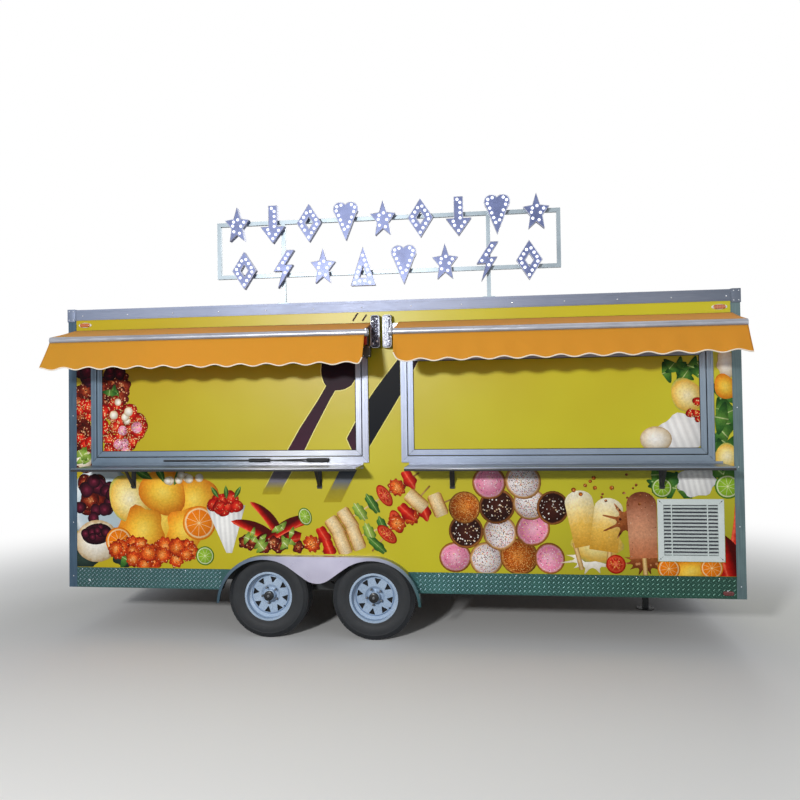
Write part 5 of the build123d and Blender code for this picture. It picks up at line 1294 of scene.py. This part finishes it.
window = {
    "rib": 0.0022, "ribWide": 0.0035, "seal": 0.005, "sealRise": 0.0034, "cutRise": 0.0026, "cutFrom": 0.002,
    "bandFace": -1.030, "bandRibs": (0.0012, 0.0225, 0.030, 0.0440), "bandCut": 0.048,
    "hatchFace": -1.032, "hatchRibs": (0.002, 0.030), "hatchCut": 0.044, "hatchTrim": 0.046,
}


def grown(x, z, reach):
    return (x[0] - reach, x[1] + reach), (z[0] - reach, z[1] + reach)


def addFrameLoop(shape, x, z, wide, y, proud, material=0):
    # four mitred strips round a window, standing out from y
    corners = [(x[0], z[0], 1, 1), (x[1], z[0], -1, 1), (x[1], z[1], -1, -1), (x[0], z[1], 1, -1)]
    for i, (ax, az, au, av) in enumerate(corners):
        bx, bz, bu, bv = corners[(i + 1) % 4]
        part = bmesh.new()
        plan = [(ax, az), (bx, bz), (bx + bu * wide, bz + bv * wide), (ax + au * wide, az + av * wide)]
        rings = [[part.verts.new((px, depth, pz)) for px, pz in plan] for depth in (y + 0.0004, y - proud)]
        part.faces.new(rings[0])
        part.faces.new(rings[1][::-1])
        for j in range(4):
            k = (j + 1) % 4
            part.faces.new([rings[0][j], rings[0][k], rings[1][k], rings[1][j]])
        mergeShapes(shape, part, material)


def addMitres(shape, x, z, y, reach, radius=0.0009):  # the saw cut in each corner
    for cornerX, leanX in ((x[0], 1), (x[1], -1)):
        for cornerZ, leanZ in ((z[0], 1), (z[1], -1)):
            cut = [Vector((cornerX + leanX * d, y, cornerZ + leanZ * d)) for d in (window["cutFrom"], reach)]
            addTube(shape, cut, radius, 4, 1, False)


def frameLines(x, z, kind):
    lines, face = bmesh.new(), window[kind + "Face"]
    for inset in window[kind + "Ribs"]:
        addFrameLoop(lines, *grown(x, z, -inset), window["ribWide"], face, window["rib"])
    addMitres(lines, x, z, face - window["cutRise"], window[kind + "Cut"])
    return lines


for end in ("rear", "front"):
    low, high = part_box(f"window_frame_{end}")
    lines = frameLines((low.x, high.x), (low.z, high.z), "band")
    finishPiece(f"windowLines{end.capitalize()}", lines, "trailer",
                ["trimAluminium", "blackCoat"], 30)
    low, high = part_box(f"hatch_panel_{end}")
    panelX, panelZ = (low.x, high.x), (low.z, high.z)
    lines = frameLines(*grown(panelX, panelZ, window["hatchTrim"]), "hatch")
    addFrameLoop(lines, *grown(panelX, panelZ, 0.002), window["seal"], window["hatchFace"] + 0.002,
                 window["sealRise"], 1)
    finishPiece(f"hatchLines{end.capitalize()}", lines, f"{end}_hatch",
                ["trimAluminium", "sealRubber"], 30)
print("rivets and window lines built")

# shelf edges: dark rubber bumper on the lip

bumper = {"proud": 0.0035, "sunk": 0.0005, "over": 0.001, "rise": 0.0185}
for end in ("rear", "front"):
    low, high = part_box(f"shelf_{end}")
    shape = bmesh.new()
    addBlock(shape, (low.x - bumper["over"], low.y - bumper["proud"], low.z - bumper["over"]),
             (high.x + bumper["over"], low.y + bumper["sunk"], low.z + bumper["rise"]), 0.001)
    finishPiece(f"shelfBumper{end.capitalize()}", shape, f"{end}_shelf", ["blackNylon"], 40)

# winding gear at the awning's end: cover, arm with its red stop, winding eye, screws

gear = {
    "cover": ((-0.1440, -1.1180, 2.3275), (-0.0770, -1.0600, 2.4170)),
    "arm": ((-0.1250, -1.0838, 2.4120), (-0.0960, -1.0440, 2.5660)),
    "stop": ((-0.1370, -1.0900, 2.4280), (-0.1080, -1.0600, 2.5010)),
    "eye": ((-0.1100, -1.0890, 2.3300), (-0.1100, -1.0890, 2.3130)), "eyeRadius": 0.010,
    "screwX": (-0.1350, -0.0860), "screwY": (-1.1160, -1.1205), "screwZ": (2.3370, 2.4070), "screwRadius": 0.0045,
}
shape = bmesh.new()
for part, bevel, material in (("cover", 0.006, 0), ("arm", 0.005, 0), ("stop", 0.004, 1)):
    addBlock(shape, *gear[part], bevel, material)
addRod(shape, *gear["eye"], gear["eyeRadius"], 14, 0.002, 0)
for x in gear["screwX"]:
    for z in gear["screwZ"]:
        addRod(shape, *[(x, y, z) for y in gear["screwY"]], gear["screwRadius"], 6, 0.001, 2)
finishPiece("awningGearCover", shape, "trailer", ["gearPaint", "redStop", "zincPlate"], 40)

# clamps that hold the lead bars beside the brackets: ring, cross bolt, lug on top

clamp = {
    "spans": ((-0.0790, -0.0480), (0.1120, 0.1430)), "radius": 0.0300, "back": 0.003,
    "boltRadius": 0.010, "boltOut": 0.004, "boltRise": 0.004,
    "lugIn": 0.008, "lugDepth": (-0.030, 0.004), "lugRise": (0.008, 0.032),
}
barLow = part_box("awning_frame_front")[0]
clampY, clampZ = barLow.y + awning["barRadius"] + clamp["back"], barLow.z + awning["barRadius"]
clamps = bmesh.new()
for x0, x1 in clamp["spans"]:
    addRod(clamps, (x0, clampY, clampZ), (x1, clampY, clampZ), clamp["radius"], 22, 0.003, 0)
    addRod(clamps, (x0 - clamp["boltOut"], clampY, clampZ + clamp["boltRise"]),
           (x1 + clamp["boltOut"], clampY, clampZ + clamp["boltRise"]), clamp["boltRadius"], 10, 0.002, 1)
    lug = [(x, clampY + depth, clampZ + rise) for x, depth, rise in
           zip((x0 + clamp["lugIn"], x1 - clamp["lugIn"]), clamp["lugDepth"], clamp["lugRise"])]
    addBlock(clamps, *lug, 0.003, 0)
finishPiece("awningBarClamps", clamps, "trailer", ["barAluminium", "zincPlate"], 40)

# raised bead round each cast bracket, and its hexagon bolts

bracket = {
    "wide": 0.068, "corner": 0.014, "bead": 0.0030, "beadBack": (0.002, 0.010),  # at the sides, at top and foot
    "boltIn": 0.017, "boltRises": (0.03, 0.05), "boltRadius": 0.0085, "boltDepth": (0.004, -0.006),
}
bracketLow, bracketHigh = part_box("awning_brackets")
beads = bmesh.new()
y, z0, z1, r = bracketLow.y - 0.001, bracketLow.z, bracketHigh.z, bracket["corner"]
for x0, x1 in ((bracketLow.x, bracketLow.x + bracket["wide"]), (bracketHigh.x - bracket["wide"], bracketHigh.x)):
    corner = [(x0 + r, z0), (x1 - r, z0), (x1, z0 + r), (x1, z1 - r), (x1 - r, z1), (x0 + r, z1), (x0, z1 - r),
              (x0, z0 + r)]
    bead = [Vector((px, y + bracket["beadBack"][pz in (z0, z1)], pz)) for px, pz in corner]
    addTube(beads, bead, bracket["bead"], 8, 0, False, True)
    left, right, (near, far) = x0 + bracket["boltIn"], x1 - bracket["boltIn"], bracket["boltRises"]
    for px, pz in ((left, z0 + near), (right, z0 + far), (left, z1 - far), (right, z1 - near)):
        addRod(beads, *[(px, y + depth, pz) for depth in bracket["boltDepth"]], bracket["boltRadius"], 6, 0.0015, 1)
finishPiece("bracketBeads", beads, "trailer", ["castEdge", "zincPlate"], 40)

# vent: screws and mitres of its frame; dark strips and a dark plate behind the blades paint the shade in its gaps

ventFit = {
    "screwIn": 0.018, "screw": (0.0048, 0.0022), "cut": 0.036, "cutRadius": 0.0008, "backIn": 0.030,
    "blades": 14, "frame": 0.045, "gap": 0.0088, "depth": 0.0105, "thick": 0.0008, "over": 0.001,
}
ventLow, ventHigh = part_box("louvre_vent")
ventX, ventZ = (ventLow.x, ventHigh.x), (ventLow.z, ventHigh.z)
vent = bmesh.new()
screwX, screwZ = grown(ventX, ventZ, -ventFit["screwIn"])
for px in screwX:
    for pz in screwZ:
        addStud(vent, (px, ventLow.y, pz), (0, -1, 0), *ventFit["screw"], 1)
addMitres(vent, ventX, ventZ, ventLow.y - 0.0003, ventFit["cut"], ventFit["cutRadius"])
finishPiece("ventFittings", vent, "trailer", ["zincPlate", "sealRubber"], 40)
mesh = bmesh.new()
backX, backZ = grown(ventX, ventZ, -ventFit["backIn"])
# a dark plate behind the blades: painted shade
addBlock(mesh, (backX[0], ventHigh.y - 0.001, backZ[0]), (backX[1], ventHigh.y + 0.002, backZ[1]))
frameWide, over, stripY = ventFit["frame"], ventFit["over"], ventLow.y + ventFit["depth"]
pitch = (ventHigh.z - ventLow.z - 2 * frameWide) / ventFit["blades"]
for i in range(ventFit["blades"]):
    # a dark strip in each gap, behind the lip of the blade above: painted shade
    top = ventLow.z + frameWide + pitch * (i + 1) + over
    addBlock(mesh, (ventLow.x + frameWide - over, stripY, top - ventFit["gap"]),
             (ventHigh.x - frameWide + over, stripY + ventFit["thick"], min(top, ventHigh.z - frameWide)))
finishPiece("ventGapStrips", mesh, "trailer", ["ventGapShade"], 40)

# marker lamps: white oval bases under the lenses, a screw at each end

lampBase = {"fromEnd": 0.046, "size": (0.060, 0.0215, 0.006), "narrowing": 0.95, "screwOut": 0.051,
            "screw": (0.004, 0.002)}
lampLow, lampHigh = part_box("marker_lamps")
lamps = bmesh.new()
z, deep = (lampLow.z + lampHigh.z) / 2, lampBase["size"][2]
for x in (lampLow.x + lampBase["fromEnd"], lampHigh.x - lampBase["fromEnd"]):
    for y, outward in ((wallLow.y, -1), (farHigh.y, 1)):
        oval = Matrix.Translation((x, y + outward * deep / 2, z)) @ Matrix.Rotation(-outward * math.pi / 2, 4, "X")
        bmesh.ops.create_cone(lamps, cap_ends=True, segments=40, radius1=1, radius2=lampBase["narrowing"], depth=1,
                              matrix=oval @ Matrix.Diagonal((*lampBase["size"], 1)))
        for aside in (-lampBase["screwOut"], lampBase["screwOut"]):
            addStud(lamps, (x + aside, y + outward * deep, z), (0, outward, 0), *lampBase["screw"])
finishPiece("lampBases", lamps, "trailer", ["whiteLampBase"], 50)

# dark rings behind the rims' hand holes: painted shade in the holes

ringBehindHoles = {"inner": 0.080, "outer": 0.158, "thick": 0.004, "steps": 40}
for place, wheel in wheels.items():
    ring = [(ringBehindHoles["inner"], 0.0), (ringBehindHoles["outer"], 0.0),
            (ringBehindHoles["outer"], -ringBehindHoles["thick"]), (ringBehindHoles["inner"], -ringBehindHoles["thick"])]
    middle = wheel["middle"]
    ringMesh = spinRing([(middle.x, middle.y + wheel["outward"] * depth, middle.z + r) for r, depth in ring], middle,
                      ringBehindHoles["steps"])
    finishPiece("darkRingBehindHoles" + wheel["title"], ringMesh, f"wheel_{place}", ["handHoleShade"], 40)

# U-bolts that hold the springs on the axles, with their nuts

springBolt = {
    "springIn": 0.030, "aside": 0.036, "along": 0.045, "radius": 0.006, "nutRadius": 0.011,
    "rod": (-0.06, 0.085), "nut": (-0.052, -0.062),  # heights from the axle's middle
}
springLow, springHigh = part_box("leaf_springs")
bolts = bmesh.new()
for end in ("front", "rear"):
    axleLow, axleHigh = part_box(f"axle_{end}")
    axleX, axleZ = (axleLow.x + axleHigh.x) / 2, (axleLow.z + axleHigh.z) / 2
    for y in (springLow.y + springBolt["springIn"], springHigh.y - springBolt["springIn"]):
        for dx in (-springBolt["along"], springBolt["along"]):
            for dy in (-springBolt["aside"], springBolt["aside"]):
                rod, nut = ([(axleX + dx, y + dy, axleZ + rise) for rise in springBolt[k]] for k in ("rod", "nut"))
                addRod(bolts, *rod, springBolt["radius"], 10, 0.0, 0)
                addRod(bolts, *nut, springBolt["nutRadius"], 6, 0.001, 0)
finishPiece("springBolts", bolts, "trailer", ["zincPlate"], 40)
print("fittings built")

# moulded grips on the lock bar: start, end and radius of each, and its ribs

grip = {"spans": ((-1.128, -0.944, 0.0140), (-0.632, -0.446, 0.0165)), "ribs": 9, "ribHalf": 0.004, "ribRise": 0.0014}
barLow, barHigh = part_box("lock_bar")
gripY, gripZ = barLow.y + 0.0105, (barLow.z + barHigh.z) / 2
grips = bmesh.new()
for x0, x1, radius in grip["spans"]:
    addRod(grips, (x0, gripY, gripZ), (x1, gripY, gripZ), radius, 16, 0.004, 0)
    for i in range(grip["ribs"]):
        x = x0 + (x1 - x0) * (i + 1) / (grip["ribs"] + 1)
        addRod(grips, (x - grip["ribHalf"], gripY, gripZ), (x + grip["ribHalf"], gripY, gripZ),
               radius + grip["ribRise"], 16, 0.001, 0)
finishPiece("lockGrips", grips, "trailer", ["gripRubber"], 30)

# corner caps over the roof rail's mitres; only the rear pair has room to wrap round the end

cap = {"along": 0.070, "below": 0.012, "above": 0.002, "proud": 0.0022, "end": 0.0008, "screws": (0.016, 0.054),
       "screwIn": 0.018, "screw": (0.005, 0.0026)}
caps = bmesh.new()
z0, z1 = railLow.z - cap["below"], railHigh.z + cap["above"]
for x0, x1, endX, outX in ((railLow.x, railLow.x + cap["along"], railLow.x, -1),
                           (railHigh.x - cap["along"], railHigh.x, railHigh.x, 1)):
    for y, outY in ((railLow.y, -1), (railHigh.y, 1)):
        faceY, innerY = y + outY * cap["proud"], y - outY * cap["along"]
        addBlock(caps, (x0, min(y, faceY), z0), (x1, max(y, faceY), z1), 0.001, 0)
        if outX < 0:
            addBlock(caps, (endX - cap["end"], min(y, innerY), z0), (endX, max(y, innerY), z1), 0.0004, 0)
        for dx in cap["screws"]:
            for z in (z0 + cap["screwIn"], z1 - cap["screwIn"]):
                addStud(caps, (endX - outX * dx, faceY, z), (0, outY, 0), *cap["screw"], 1)
finishPiece("railCornerCaps", caps, "trailer", ["railAluminium", "zincPlate"], 40)

# valve stems: rubber stem and its cap, as radius and depths from the rim's face

valve = {"circle": 0.152, "turn": 2.2, "parts": ((0.0042, 0.080, 0.050), (0.0052, 0.052, 0.042))}
for place, wheel in wheels.items():
    stem = bmesh.new()
    x = wheel["middle"].x + valve["circle"] * math.sin(valve["turn"])
    z = wheel["middle"].z + valve["circle"] * math.cos(valve["turn"])
    for radius, *depths in valve["parts"]:
        addRod(stem, *[(x, wheel["face"] - wheel["outward"] * depth, z) for depth in depths], radius, 10, 0.001, 0)
    finishPiece("valveStem" + wheel["title"], stem, f"wheel_{place}", ["blackNylon"])
print("caps and stems built")
